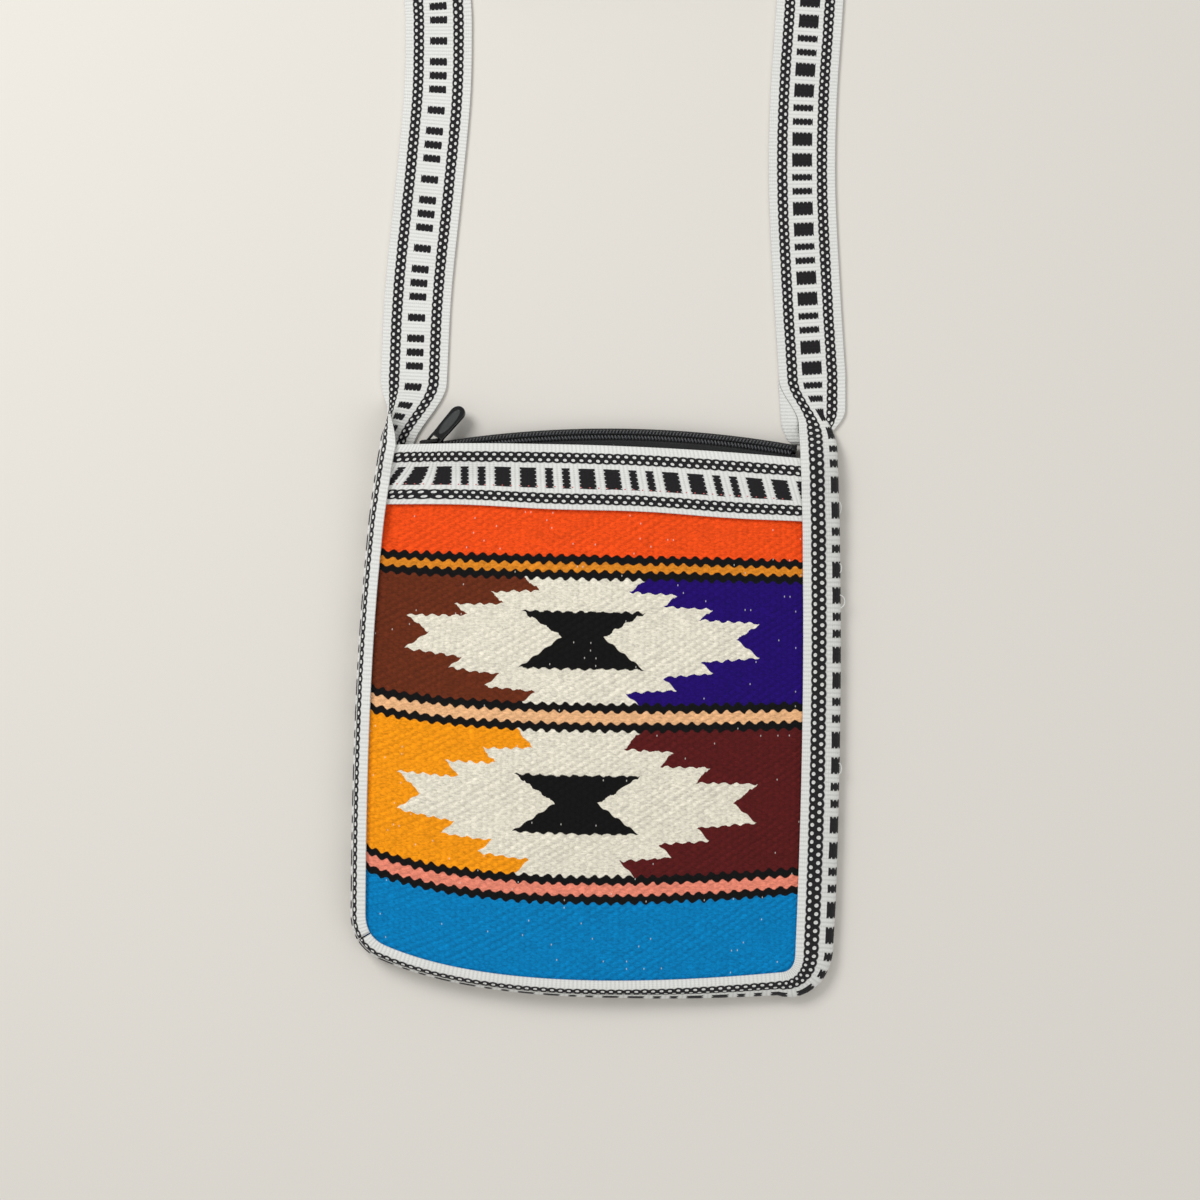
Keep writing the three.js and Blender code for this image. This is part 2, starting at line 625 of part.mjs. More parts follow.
function sliderBody() {
  const half = SLIDER_LENGTH / 2;
  const flangeInside = wingHalf - FLANGE_THICKNESS;
  const flangeEnd = wingHalf - 0.55;
  let body = solidOf(wing(outerWing)).add(solidOf(wing(innerWing - SLIDER_WALL)));
  const post = block(
    at(-half + 1, -POST_THICKNESS / 2, innerWing - SLIDER_WALL / 2),
    at(-half + 3.5, POST_THICKNESS / 2, outerWing + SLIDER_WALL / 2),
  );
  body = body.add(solidOf(post));
  for (const side of [-1, 1]) {
    const low = Math.min(side * flangeInside, side * flangeEnd);
    const high = Math.max(side * flangeInside, side * flangeEnd);
    const foot = at(-half + 2, low, SLIDER_CLEARANCE);
    const head = at(half - 1, high, outerWing + SLIDER_WALL / 2);
    body = body.add(solidOf(block(foot, head)));
  }
  const legFoot = wingTop - SLIDER_WALL / 2;
  const legIn = ARCH_SPAN / 2;
  const legOut = legIn + ARCH_LEG;
  const archUnder = wingTop + ARCH_ROOM;
  const archTop = archUnder + ARCH_LEG;
  const arch = new THREE.Shape();
  arch.moveTo(-legOut, legFoot);
  arch.lineTo(-legIn, legFoot);
  arch.lineTo(-legIn, archUnder);
  arch.lineTo(legIn, archUnder);
  arch.lineTo(legIn, legFoot);
  arch.lineTo(legOut, legFoot);
  arch.lineTo(legOut, archUnder);
  arch.quadraticCurveTo(legOut, archTop, legIn, archTop);
  arch.lineTo(-legIn, archTop);
  arch.quadraticCurveTo(-legOut, archTop, -legOut, archUnder);
  const bridge = plate(arch, ARCH_WIDTH);
  bridge.rotateX(Math.PI / 2).translate(0, ARCH_WIDTH / 2, 0);
  return geometryOf(body.add(solidOf(bridge)));
}

// Pull tab: lengthways from its bar, with an eye for the arch and a shallow oval in its face
function pullTab() {
  const half = TAB_WIDTH / 2;
  const neck = TAB_BAR / 2 + EYE_LENGTH;
  const outline = new THREE.Shape();
  outline.moveTo(-TAB_BAR / 2, -half + 0.4);
  outline.lineTo(neck, -half + 0.4);
  outline.quadraticCurveTo(neck + 2, -half + 0.6, neck + 5, -half + 0.3);
  outline.lineTo(TAB_LENGTH - half, -half);
  outline.absarc(TAB_LENGTH - half, 0, half, -Math.PI / 2, Math.PI / 2, false);
  outline.lineTo(neck + 5, half - 0.3);
  outline.quadraticCurveTo(neck + 2, half - 0.6, neck, half - 0.4);
  outline.lineTo(-TAB_BAR / 2, half - 0.4);
  const eye = new THREE.Path();
  eye.moveTo(TAB_BAR / 2, -EYE_WIDTH / 2);
  eye.lineTo(TAB_BAR / 2, EYE_WIDTH / 2);
  eye.lineTo(neck, EYE_WIDTH / 2);
  eye.lineTo(neck, -EYE_WIDTH / 2);
  outline.holes.push(eye);
  const blank = plate(outline, TAB_THICKNESS).translate(0, 0, -TAB_THICKNESS / 2);
  const oval = new THREE.Shape();
  oval.absellipse((neck + TAB_LENGTH) / 2, 0, (TAB_LENGTH - neck) / 2 - 2, half - 1.6, 0, 2 * Math.PI);
  const recess = plate(oval, TAB_THICKNESS).translate(0, 0, TAB_THICKNESS / 2 - TAB_RECESS);
  return geometryOf(solidOf(blank).subtract(solidOf(recess)));
}

function slider() {
  const frame = zipFrame(frontSeam[0].getPoint(0).x + SLIDER_INSET);
  const group = new THREE.Group();
  const turned = new THREE.Matrix4().makeBasis(frame.along, frame.across, frame.face);
  group.position.copy(frame.origin);
  group.quaternion.setFromRotationMatrix(turned);
  group.add(named("slider_body", sliderBody(), paintedMetal));
  const tab = named("pull_tab", pullTab(), paintedMetal);
  tab.position.set(0, 0, pivotHeight);
  tab.rotation.set(0, -TAB_RAISE, TAB_TURN, "ZYX");
  group.add(tab);
  return group;
}

const bag = new THREE.Group();
bag.add(named("front_panel", frontPanel(), wool));
bag.add(named("back_panel", backPanel(), wool));
bag.add(named("front_top_band", frontTopBand(), bandCotton));
bag.add(named("back_top_band", backTopBand(), bandCotton));
bag.add(named("strap_band", strapBand(), bandCotton));
bag.add(named("zip_tape_front", frontTape(), zipCloth));
bag.add(named("zip_tape_back", backTape(), zipCloth));
bag.add(named("zip_coil_front", coil(-1), zipNylon));
bag.add(named("zip_coil_back", coil(1), zipNylon));
bag.add(slider());

export default bag;
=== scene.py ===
"""A small woven zip-top shoulder bag lying on its back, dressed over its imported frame."""
import math

import bmesh
import bpy
import numpy as np
from mathutils import Matrix, Vector


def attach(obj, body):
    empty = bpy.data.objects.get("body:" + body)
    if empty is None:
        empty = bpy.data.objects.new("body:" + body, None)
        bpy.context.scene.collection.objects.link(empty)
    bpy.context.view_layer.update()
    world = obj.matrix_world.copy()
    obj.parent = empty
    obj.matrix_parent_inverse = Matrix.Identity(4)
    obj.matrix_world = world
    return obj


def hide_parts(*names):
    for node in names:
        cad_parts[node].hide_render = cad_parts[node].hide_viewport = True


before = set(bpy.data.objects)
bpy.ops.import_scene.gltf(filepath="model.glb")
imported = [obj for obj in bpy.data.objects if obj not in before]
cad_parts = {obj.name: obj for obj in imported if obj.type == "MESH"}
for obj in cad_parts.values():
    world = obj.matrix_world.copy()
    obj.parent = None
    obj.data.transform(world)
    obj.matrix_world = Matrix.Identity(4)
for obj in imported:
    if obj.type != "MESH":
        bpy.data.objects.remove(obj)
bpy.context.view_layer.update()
chance = np.random.default_rng(7)

MM = 0.001

# Cloth and seams, in millimetres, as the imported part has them
BAND_WIDTH = 30
BAND_THICKNESS = 1.5
PANEL_THICKNESS = 2.6
TAPE_THICKNESS = 0.7
SEAT_GAP = 0.3
SELVEDGE_GAP = 0.5
HEM_GAP = 0.5
SELVEDGE_LAP = 4.2
SEAM_TUCK = 2.8
SEAM_LEFT = -104
SEAM_RIGHT = 89
SEAM_TOP = 120.5
SEAM_BASE = -116
FRONT_LEAN = (14, 2.5)
SEAM_HEIGHT = 12
SIDE_SLOPE = -0.0155
END_SLOPE = 0.006
FRONT_CROWN = 5
CROWN_SIDE = 0.025
CROWN_TOP = 0.13
CROWN_FULLNESS = 0.8
BACK_LEFT_SLIP = 9
BACK_RIGHT_SLIP = 8
BACK_BASE_SLIP = 10
BACK_TOP_SLIP = -2
BACK_LEAN = (11, -1)
FOLD_PLACES = (0, 0.3, 2, 2.6, 3, 3.6, 4.1, 5)
FOLD_WIDTHS = (7, 6.2, 6.5, 7.5, 10, 15, 17, 16.5)
FOLD_HEIGHT_SHARE = 0.45
LAP_SPAN = (-0.8, -0.3)  # where the gusset's edge climbs onto the band, in band heights
LEFT_CORNER = 1.5  # the middle of a seam's rounded corner
RIGHT_CORNER = 3.5
SECTION_SHARES = np.array([0, 0.14, 0.32, 0.5, 0.68, 0.86, 1])
SEAM_STEPS = (64, 12, 52, 12, 68)
BAND_ENDS_PLACE = LEFT_CORNER
BAND_ENDS_GAP = 0.015

# The bands across the top
TOP_BAND_SHOWN = 25.8
TOP_BAND_RISE = 2
TOP_BAND_DROP = 5.5
TOP_BAND_BULGE = 1.2
SLIDER_HUMP = 2.8
SLIDER_HUMP_SPAN = (44, 84)  # where it fades, from the left seam
TOP_BAND_SINK = -0.6
PANEL_UNDER_BAND = 0.42
HEM_PLACES = (0.76, 0.54)
FRONT_BAND_DROPS = (26.2, 28.4)  # the front band's shown height at its left and right ends
FRONT_BAND_SAG = 2.5
FRONT_BAND_WAVE = 0.35  # how far its lower edge wavers
FRONT_BAND_WAVE_LENGTH = 13
LAYER_LIFT = BAND_THICKNESS + SELVEDGE_GAP
PANEL_EDGE = (0.025, 0.075)
PANEL_ON_BAND = (0.085, 0.14)
BAND_END = (0.018, 0.034)

# Zip, slider and strap
ZIP_LEFT = -80.5
ZIP_RIGHT = 90
ZIP_BOW = 7.6
ZIP_RISE = 5.1
ZIP_HEIGHT = 7.5
ZIP_TURN = 0.873
TAPE_PLACES = (0.9, 2.8, 4.8)
BACK_HEM_PLACES = (2.4, -3, -10)
COIL_MIDDLE = 1.6
COIL_REACH = 0.76
COIL_CENTRE_HEIGHT = 1.15
COIL_RISE = 0.6
COIL_WIRE = 0.38
COIL_PITCH = 1.5
COIL_INSET = 1.5
SLIDER_ROUNDING = 0.22
TAB_ROUNDING = 0.28
SUNK_OVAL = (0.2, 0.6)  # how far the tab's oval lies below its face
STRAP_REST = BAND_THICKNESS / 2
RIGHT_LEG = ((6.2, 37.7), (3.9, 74.6), (1.6, 124), (2.3, 165), (5.5, 215), (5.5, 248))
LEFT_LEG = ((6.9, 31.2), (9, 72.5), (13.7, 118.5), (17.5, 159.5), (18.2, 192), (17.5, 206))
HANK_RISE = 231.5
HANK_RUNS = 7
HANK_LEFT_INSET = 42.5
HANK_RIGHT_INSET = 49
LAYER = BAND_THICKNESS + HEM_GAP
FOLD_CLEAR = 4
LEG_STEPS = 40
SPREAD_STEPS = 24
RIGHT_LEADS = (1.6, 1.9)  # how much sooner the band's back opens and the band sinks, right and left
LEFT_LEADS = (1, 1.3)
RIGHT_EDGE_HOLD = 0.45
TURNED_HEIGHTS = (7.5, 9, 15.5, 36)  # the turned edge's outline, from the right corner
TURNED_SIDES = (-3, -5.1, -7.8, -9.2)
TURNED_THICKNESS = 0.8
TURNED_TUCK = 1.5
TURNED_TUCK_SPAN = (9, 14)
TURNED_GAP = 0.15

# The band's weave: one repeat is ten cells long
GUSSET_CELL = 3.8
STRAP_CELL = 3.15
TOP_BAND_CELL = 3.79
TOP_BAND_FIRST_CELL = 29.7  # where a repeat begins on the front band
TOP_BAND_LEAN = 0.3  # how far the bars lean at the band's right end
TOP_BAND_LEAN_SPAN = (-60, 80)
LEFT_END_LEAN = 0.7
LEFT_END_LEAN_SPAN = (-88, -62)
SHOWN_WEAVE = BAND_WIDTH - 1.2
LEAN_MIDDLE = 14
REPEAT_CELLS = 10
FACE_BARS = ((1, 1), (4, 1), (6.5, 0.5), (8.5, 0.5))  # each bar's middle and half length, in cells
REVERSE_BARS = ((2.5, 0.58), (5.5, 0.58), (7.5, 0.58), (9.5, 0.58))
FACE_BAR_REACH = 4.5
REVERSE_BAR_REACH = 3.9
CHAIN_COLUMNS = ((7.95, 0.0), (10.05, 0.5))  # from the band's middle, with each column's stagger
CHAIN_LINK = 3.1
RING_REACH = (1.4, 2.1)
DOT_REACH = (0.6, 0.7)

# Threads: the pink stitches, and loose loops by height, reach and length
STITCH_SPAN = (-90, 84)
STITCH_BAND_HALF = 92
STITCH_PITCH = 3.8
STITCH_RADIUS = 0.42
STITCH_HEIGHT = 0.34
LOOSE_LOOPS = ((93, 1.3, 6), (51, 2.2, 6), (-24, 1.2, 5), (66, 0.9, 4))
LOOP_RADIUS = 0.22

# The panel's weave, in beads
PANEL_COLUMNS = 78
PANEL_ROWS = 67
BEAD_RELIEF = 0.35
BEAD_SHOULDER = 0.16
BEAD_SLANT = 0.3
BEAD_WIDE = 0.72  # half a bead's width at its middle, and at its ends
BEAD_NARROW = 0.28
BEAD_INSET = 0.2
TONE_SPREAD = 0.03
FLECK_SHARE = 0.035
FACES_IN_PAIR = 24
ROW_TILT = 0.008
STRIPE_WAVE = 0.0031  # how far a stripe's edge rises and falls over two columns
MOTIF_WAVE = 0.0018
YARN_EDGE = 650  # how sharply one yarn follows another

# The panel's design, as shares of its width and height
MOTIF_MIDDLE = 0.487
MOTIF_WIDTHS = (0.138, 0.1, 0.211, 0.181, 0.293, 0.261, 0.4, 0.346,
                0.399, 0.267, 0.296, 0.182, 0.214, 0.099, 0.135)
UPPER_MOTIF_ROWS = (0.196, 0.22, 0.225, 0.248, 0.252, 0.273, 0.28, 0.312,
                    0.349, 0.358, 0.38, 0.388, 0.413, 0.419, 0.445)
LOWER_MOTIF_ROWS = (0.493, 0.53, 0.536, 0.564, 0.568, 0.597, 0.604, 0.641,
                    0.683, 0.687, 0.715, 0.717, 0.744, 0.75, 0.784)
HOURGLASS_WIDTHS = (0.14, 0.047, 0.14)
UPPER_HOURGLASS_ROWS = (0.26, 0.31, 0.373)
LOWER_HOURGLASS_ROWS = (0.582, 0.637, 0.697)

# View and light, in metres and watts
CAMERA_HEIGHT = 1.3
VIEW_WIDTH = 0.54
PANEL_LEVEL = 0.012
VIEW_MIDDLE = (0.00135, 0.05175)
FLOOR_DROP = 0.0002
LIT_PLACE = (0, 0.05, 0)
KEY_POWER = 11.5
FILL_POWER = 3.6
WORLD_LIGHT = 0.5


def shade(red, green, blue):
    """A screen colour as light."""
    parts = np.array([red, green, blue]) / 255
    return tuple(np.where(parts < 0.04045, parts / 12.92, ((parts + 0.055) / 1.055) ** 2.4))


ORANGE = shade(243, 80, 22)
GOLD = shade(222, 136, 36)
BROWN = shade(104, 46, 24)
INDIGO = shade(34, 8, 108)
CREAM = shade(232, 226, 208)
BLACK = shade(18, 17, 17)
PEACH = shade(238, 184, 134)
YELLOW = shade(248, 154, 18)
MAROON = shade(90, 26, 26)
SALMON = shade(238, 140, 116)
BLUE = shade(0, 128, 190)
WARP = shade(225, 222, 214)
BAND_WHITE = shade(234, 234, 230)
BAND_BLACK = shade(30, 28, 30)
ZIP_BLACK = shade(20, 21, 23)
# The coil's grey stands in for the highlights on black nylon: painted highlight
COIL_HIGHLIGHT_GREY = shade(66, 67, 70)
# Paler enamel for the rounded rims and the tab's sunk oval: painted highlight
RIM_HIGHLIGHT_GREY = shade(58, 60, 60)
ENAMEL = shade(8, 9, 9)
STITCH_PINK = shade(214, 106, 104)
FLOOR = shade(226, 222, 214)

# From the top down: where each stripe or field of the panel begins, and its two halves
FIELDS = (
    (-1, ORANGE, ORANGE),
    (0.149, BLACK, BLACK),
    (0.165, GOLD, GOLD),
    (0.18, BLACK, BLACK),
    (0.196, BROWN, INDIGO),
    (0.441, BLACK, BLACK),
    (0.457, PEACH, PEACH),
    (0.479, BLACK, BLACK),
    (0.495, YELLOW, MAROON),
    (0.78, BLACK, BLACK),
    (0.796, SALMON, SALMON),
    (0.818, BLACK, BLACK),
    (0.834, BLUE, BLUE),
)
MOTIFS = {
    BROWN: (UPPER_MOTIF_ROWS, UPPER_HOURGLASS_ROWS),
    YELLOW: (LOWER_MOTIF_ROWS, LOWER_HOURGLASS_ROWS),
}


def mix(start, end, share):
    """Part of the way from start to end."""
    return start + (end - start) * share


def ease(value, low, high):
    """A smooth rise from 0 at low to 1 at high."""
    share = np.clip((value - low) / (high - low), 0, 1)
    return share * share * (3 - 2 * share)


class Route:
    """A line through points, read by its share of length."""

    def __init__(self, points):
        self.points = np.asarray(points, float)
        steps = np.linalg.norm(np.diff(self.points, axis=0), axis=1)
        self.run = np.concatenate([[0], np.cumsum(steps)])
        self.length = self.run[-1]

    def read(self, reach, run):
        return np.stack([np.interp(reach, run, line) for line in self.points.T], -1)

    def at(self, share):
        return self.read(np.clip(share, 0, 1) * self.length, self.run)

    def even(self, share):
        """The point at a share of the points themselves."""
        last = len(self.points) - 1
        return self.read(np.clip(share, 0, 1) * last, np.arange(last + 1))

    def heading(self, share):
        ahead = self.at(share + 0.002) - self.at(share - 0.002)
        return ahead / np.linalg.norm(ahead, axis=-1, keepdims=True)


def bow(start, control, end):
    """A curve that leaves its start and reaches its end along lines to one control point."""
    share = np.linspace(0, 1, 301)[:, None]
    start, control, end = (np.asarray(point, float) for point in (start, control, end))
    return Route((1 - share) ** 2 * start + 2 * share * (1 - share) * control + share ** 2 * end)


def smooth_route(points):
    """A smooth line through a few points."""
    points = np.asarray(points, float)
    knots = np.arange(len(points))
    return Route(smooth_between(points[None], knots, np.linspace(0, knots[-1], 40 * len(points)))[0])


def smooth_between(rows, knots, wanted):
    """Each row's points, read smoothly at the wanted places between its knots."""
    slopes = np.gradient(rows, knots, axis=1)
    index = np.clip(np.searchsorted(knots, wanted, side="right") - 1, 0, len(knots) - 2)
    span = (knots[index + 1] - knots[index])[None, :, None]
    share = ((wanted - knots[index]) / (knots[index + 1] - knots[index]))[None, :, None]
    start = rows[:, index] * (2 * share ** 3 - 3 * share ** 2 + 1)
    end = rows[:, index + 1] * (3 * share ** 2 - 2 * share ** 3)
    leave = slopes[:, index] * (share ** 3 - 2 * share ** 2 + share) * span
    arrive = slopes[:, index + 1] * (share ** 3 - share ** 2) * span
    return start + end + leave + arrive


# Seams, panels and bands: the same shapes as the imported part


def seam_curves(left, right, top, base, lean):
    """A seam's five curves: left side, left corner, base, right corner and right side."""
    corners = (
        (left + lean[0], top),
        (left, base + 28),
        (left + 10, base + 12),
        (right - 7, base),
        (right + 0.3, base + 8),
        (right + lean[1], top - TOP_BAND_DROP),
    )
    controls = (
        (left + 1, mix(top, base, 0.25)),
        (left - 0.5, base + 16),
        (left + 64, base - 11),
        (right, base),
        (right + 6, mix(top, base, 0.42)),
    )
    return [bow(corners[k], controls[k], corners[k + 1]) for k in range(5)]


front_seam = seam_curves(SEAM_LEFT, SEAM_RIGHT, SEAM_TOP, SEAM_BASE, FRONT_LEAN)
back_seam = seam_curves(
    SEAM_LEFT + BACK_LEFT_SLIP,
    SEAM_RIGHT + BACK_RIGHT_SLIP,
    SEAM_TOP + BACK_TOP_SLIP,
    SEAM_BASE + BACK_BASE_SLIP,
    BACK_LEAN,
)


def seam_point(seam, place, outside=0.0):
    """A point of the seam, or a distance outside it. A place's whole number is its curve."""
    index = min(int(place), 4)
    tangent = seam[index].heading(np.clip(place - index, 0.002, 0.998))
    return seam[index].at(place - index) + outside * np.array([tangent[1], -tangent[0]])


def side_place(seam, index, height):
    """The place of a height on the left side (0) or the right side (4)."""
    if index:
        return index + 1 - (seam[index].points[-1, 1] - height) / seam[index].length
    return (seam[index].points[0, 1] - height) / seam[index].length


def band_edge(seam, drops, rise):
    """A band's long edge, dropped at its two ends and bowed upwards."""
    left = seam[0].points[0, 1]
    right = seam[4].points[-1, 1]
    start = seam_point(seam, side_place(seam, 0, left - drops[0]), SEAM_TUCK)
    end = seam_point(seam, side_place(seam, 4, right - drops[1]), SEAM_TUCK)
    return bow(start, (start + end) / 2 + np.array([0, rise]), end)


def band_edges(seam):
    lower = band_edge(seam, (TOP_BAND_SHOWN, TOP_BAND_SHOWN), TOP_BAND_RISE * 2)
    upper = band_edge(seam, (0, 0), TOP_BAND_RISE * 3)
    return lower, upper


def on_band(edges, share, height):
    """A point of the band by its share of the length and of the height."""
    return mix(edges[0].even(share), edges[1].even(share), np.asarray(height)[..., None])


front_edges = band_edges(front_seam)
back_edges = band_edges(back_seam)
front_band_edges = (band_edge(front_seam, FRONT_BAND_DROPS, FRONT_BAND_SAG), front_edges[1])


def panel_patch(seam, edges):
    """A way to place points of a panel that is sewn into its seam all round."""
    top_left = side_place(seam, 0, on_band(edges, 0, PANEL_UNDER_BAND)[1])
    top_right = side_place(seam, 4, on_band(edges, 1, PANEL_UNDER_BAND)[1])

    def side(start, end):
        return Route([seam_point(seam, place, SEAM_TUCK) for place in np.linspace(start, end, 161)])

    left = side(top_left, LEFT_CORNER)
    base = side(LEFT_CORNER, RIGHT_CORNER)
    right = side(top_right, RIGHT_CORNER)
    corners = (left.points[0], right.points[0], left.points[-1], right.points[-1])
    middle = on_band(edges, 0.5, PANEL_UNDER_BAND)
    top = bow(corners[0], 2 * middle - (corners[0] + corners[1]) / 2, corners[1])

    def place(across, down):
        s, t = across[..., None], down[..., None]
        sides = mix(left.at(down), right.at(down), s)
        ends = mix(top.at(across), base.at(across), t)
        return sides + ends - mix(mix(corners[0], corners[1], s), mix(corners[2], corners[3], s), t)

    return place


def top_plane(x, y):
    """The height of the front seam above the floor."""
    return SEAM_HEIGHT + SIDE_SLOPE * x + END_SLOPE * y


def pillow(share, margin):
    """A swell over the panel's width or height, flat in its margins."""
    swell = np.sin(math.pi * np.clip((share - margin) / (1 - margin - CROWN_SIDE), 0, 1))
    return swell ** CROWN_FULLNESS


def edge_lift(share, edge):
    """The lift of an end that lies on another layer."""
    return LAYER_LIFT * (1 - ease(np.minimum(share, 1 - share), edge[0], edge[1]))


def front_height(across, down, x, y):
    crown = FRONT_CROWN * pillow(across, CROWN_SIDE) * pillow(down, CROWN_TOP)
    return top_plane(x, y) + crown


def back_height(across, down, x, y):
    side = edge_lift(across, PANEL_EDGE)
    lower = np.maximum(side, edge_lift(down, PANEL_EDGE))
    return np.where(down < 0.5, side + edge_lift(down, PANEL_ON_BAND), lower)


def band_rise(x, height):
    """How far the front band bulges and lifts over the slider, or sinks away from it."""
    free = np.clip((height - PANEL_UNDER_BAND) / (1 - PANEL_UNDER_BAND), 0, 1)
    lift = mix(SLIDER_HUMP, TOP_BAND_SINK, ease(x - SEAM_LEFT, *SLIDER_HUMP_SPAN))
    return TOP_BAND_BULGE * np.sin(math.pi * free) + lift * ease(free, 0, 1)


def band_middle(x, y, height):
    return top_plane(x, y) + SEAT_GAP + BAND_THICKNESS / 2 + band_rise(x, height)


# Materials


class Finish:
    """A material being made, with short ways to add its nodes."""

    def __init__(self, name):
        self.material = bpy.data.materials.new(name)
        self.material.use_nodes = True
        self.nodes = self.material.node_tree.nodes
        self.shader = self.nodes["Principled BSDF"]

    def link(self, output, socket):
        self.material.node_tree.links.new(output, socket)

    def put(self, socket, value):
        if isinstance(value, bpy.types.NodeSocket):
            self.link(value, socket)
        else:
            socket.default_value = value

    def math(self, operation, *values, clamp=False):
        node = self.nodes.new("ShaderNodeMath")
        node.operation = operation
        node.use_clamp = clamp
        for socket, value in zip(node.inputs, values):
            self.put(socket, value)
        return node.outputs[0]

    def plus(self, first, second):
        return self.math("ADD", first, second)

    def minus(self, first, second):
        return self.math("SUBTRACT", first, second)

    def times(self, first, second):
        return self.math("MULTIPLY", first, second)

    def soft_step(self, value, sharpness):
        """0 below zero and 1 above it, with a narrow slope."""
        return self.math("MULTIPLY_ADD", value, sharpness, 0.5, clamp=True)

    def largest(self, values):
        top = values[0]
        for value in values[1:]:
            top = self.math("MAXIMUM", top, value)
        return top

    def object_noise(self, scale, stretch=(1, 1, 1), detail=2):
        place = self.nodes.new("ShaderNodeTexCoord")
        mapping = self.nodes.new("ShaderNodeMapping")
        mapping.inputs["Scale"].default_value = stretch
        self.link(place.outputs["Object"], mapping.inputs["Vector"])
        noise = self.nodes.new("ShaderNodeTexNoise")
        noise.inputs["Scale"].default_value = scale
        noise.inputs["Detail"].default_value = detail
        self.link(mapping.outputs["Vector"], noise.inputs["Vector"])
        return noise.outputs["Fac"]

    def between(self, value, low, high):
        """The value from 0 to 1, spread from low to high."""
        return self.math("MULTIPLY_ADD", value, high - low, low)

    def tint(self, share, first, second):
        node = self.nodes.new("ShaderNodeMix")
        node.data_type = "RGBA"
        self.put(node.inputs["Factor"], share)
        for socket, colour in ((node.inputs["A"], first), (node.inputs["B"], second)):
            self.put(socket, colour if isinstance(colour, bpy.types.NodeSocket) else (*colour, 1))
        return node.outputs["Result"]

    def dim(self, colour, amount):
        """A colour made darker or lighter by a number."""
        node = self.nodes.new("ShaderNodeVectorMath")
        node.operation = "SCALE"
        self.put(node.inputs[0], colour)
        self.put(node.inputs["Scale"], amount)
        return node.outputs["Vector"]

    def bump(self, height, depth, strength=1.0):
        node = self.nodes.new("ShaderNodeBump")
        node.inputs["Distance"].default_value = depth * MM
        node.inputs["Strength"].default_value = strength
        self.link(height, node.inputs["Height"])
        self.link(node.outputs["Normal"], self.shader.inputs["Normal"])

    def surface(self, colour, roughness, sheen=0.0, specular=0.5):
        """The shader's colour and how it takes the light."""
        self.put(self.shader.inputs["Base Color"], colour)
        self.put(self.shader.inputs["Roughness"], roughness)
        self.shader.inputs["Sheen Weight"].default_value = sheen
        self.shader.inputs["Specular IOR Level"].default_value = specular

    def cloth_place(self):
        """Where a point lies in the piece's own weave."""
        map_node = self.nodes.new("ShaderNodeUVMap")
        map_node.uv_map = "weave"
        split = self.nodes.new("ShaderNodeSeparateXYZ")
        self.link(map_node.outputs["UV"], split.inputs["Vector"])
        return split.outputs["X"], split.outputs["Y"]

    def weave(self):
        """Across the cloth in millimetres, and along it in cells."""
        x, y = self.cloth_place()
        return self.times(x, BAND_WIDTH), self.times(y, REPEAT_CELLS)

    def width_at(self, row, rows, widths):
        """A width that changes from row to row."""
        span = rows[-1] - rows[0]
        node = self.nodes.new("ShaderNodeValToRGB")
        stops = node.color_ramp.elements
        stops.remove(stops[1])
        for place, width in zip(rows, widths):
            stop = stops.new((place - rows[0]) / span)
            stop.color = (width, width, width, 1)
        stops.remove(stops[0])
        self.link(self.math("MULTIPLY_ADD", row, 1 / span, -rows[0] / span), node.inputs["Fac"])
        return node.outputs["Color"]


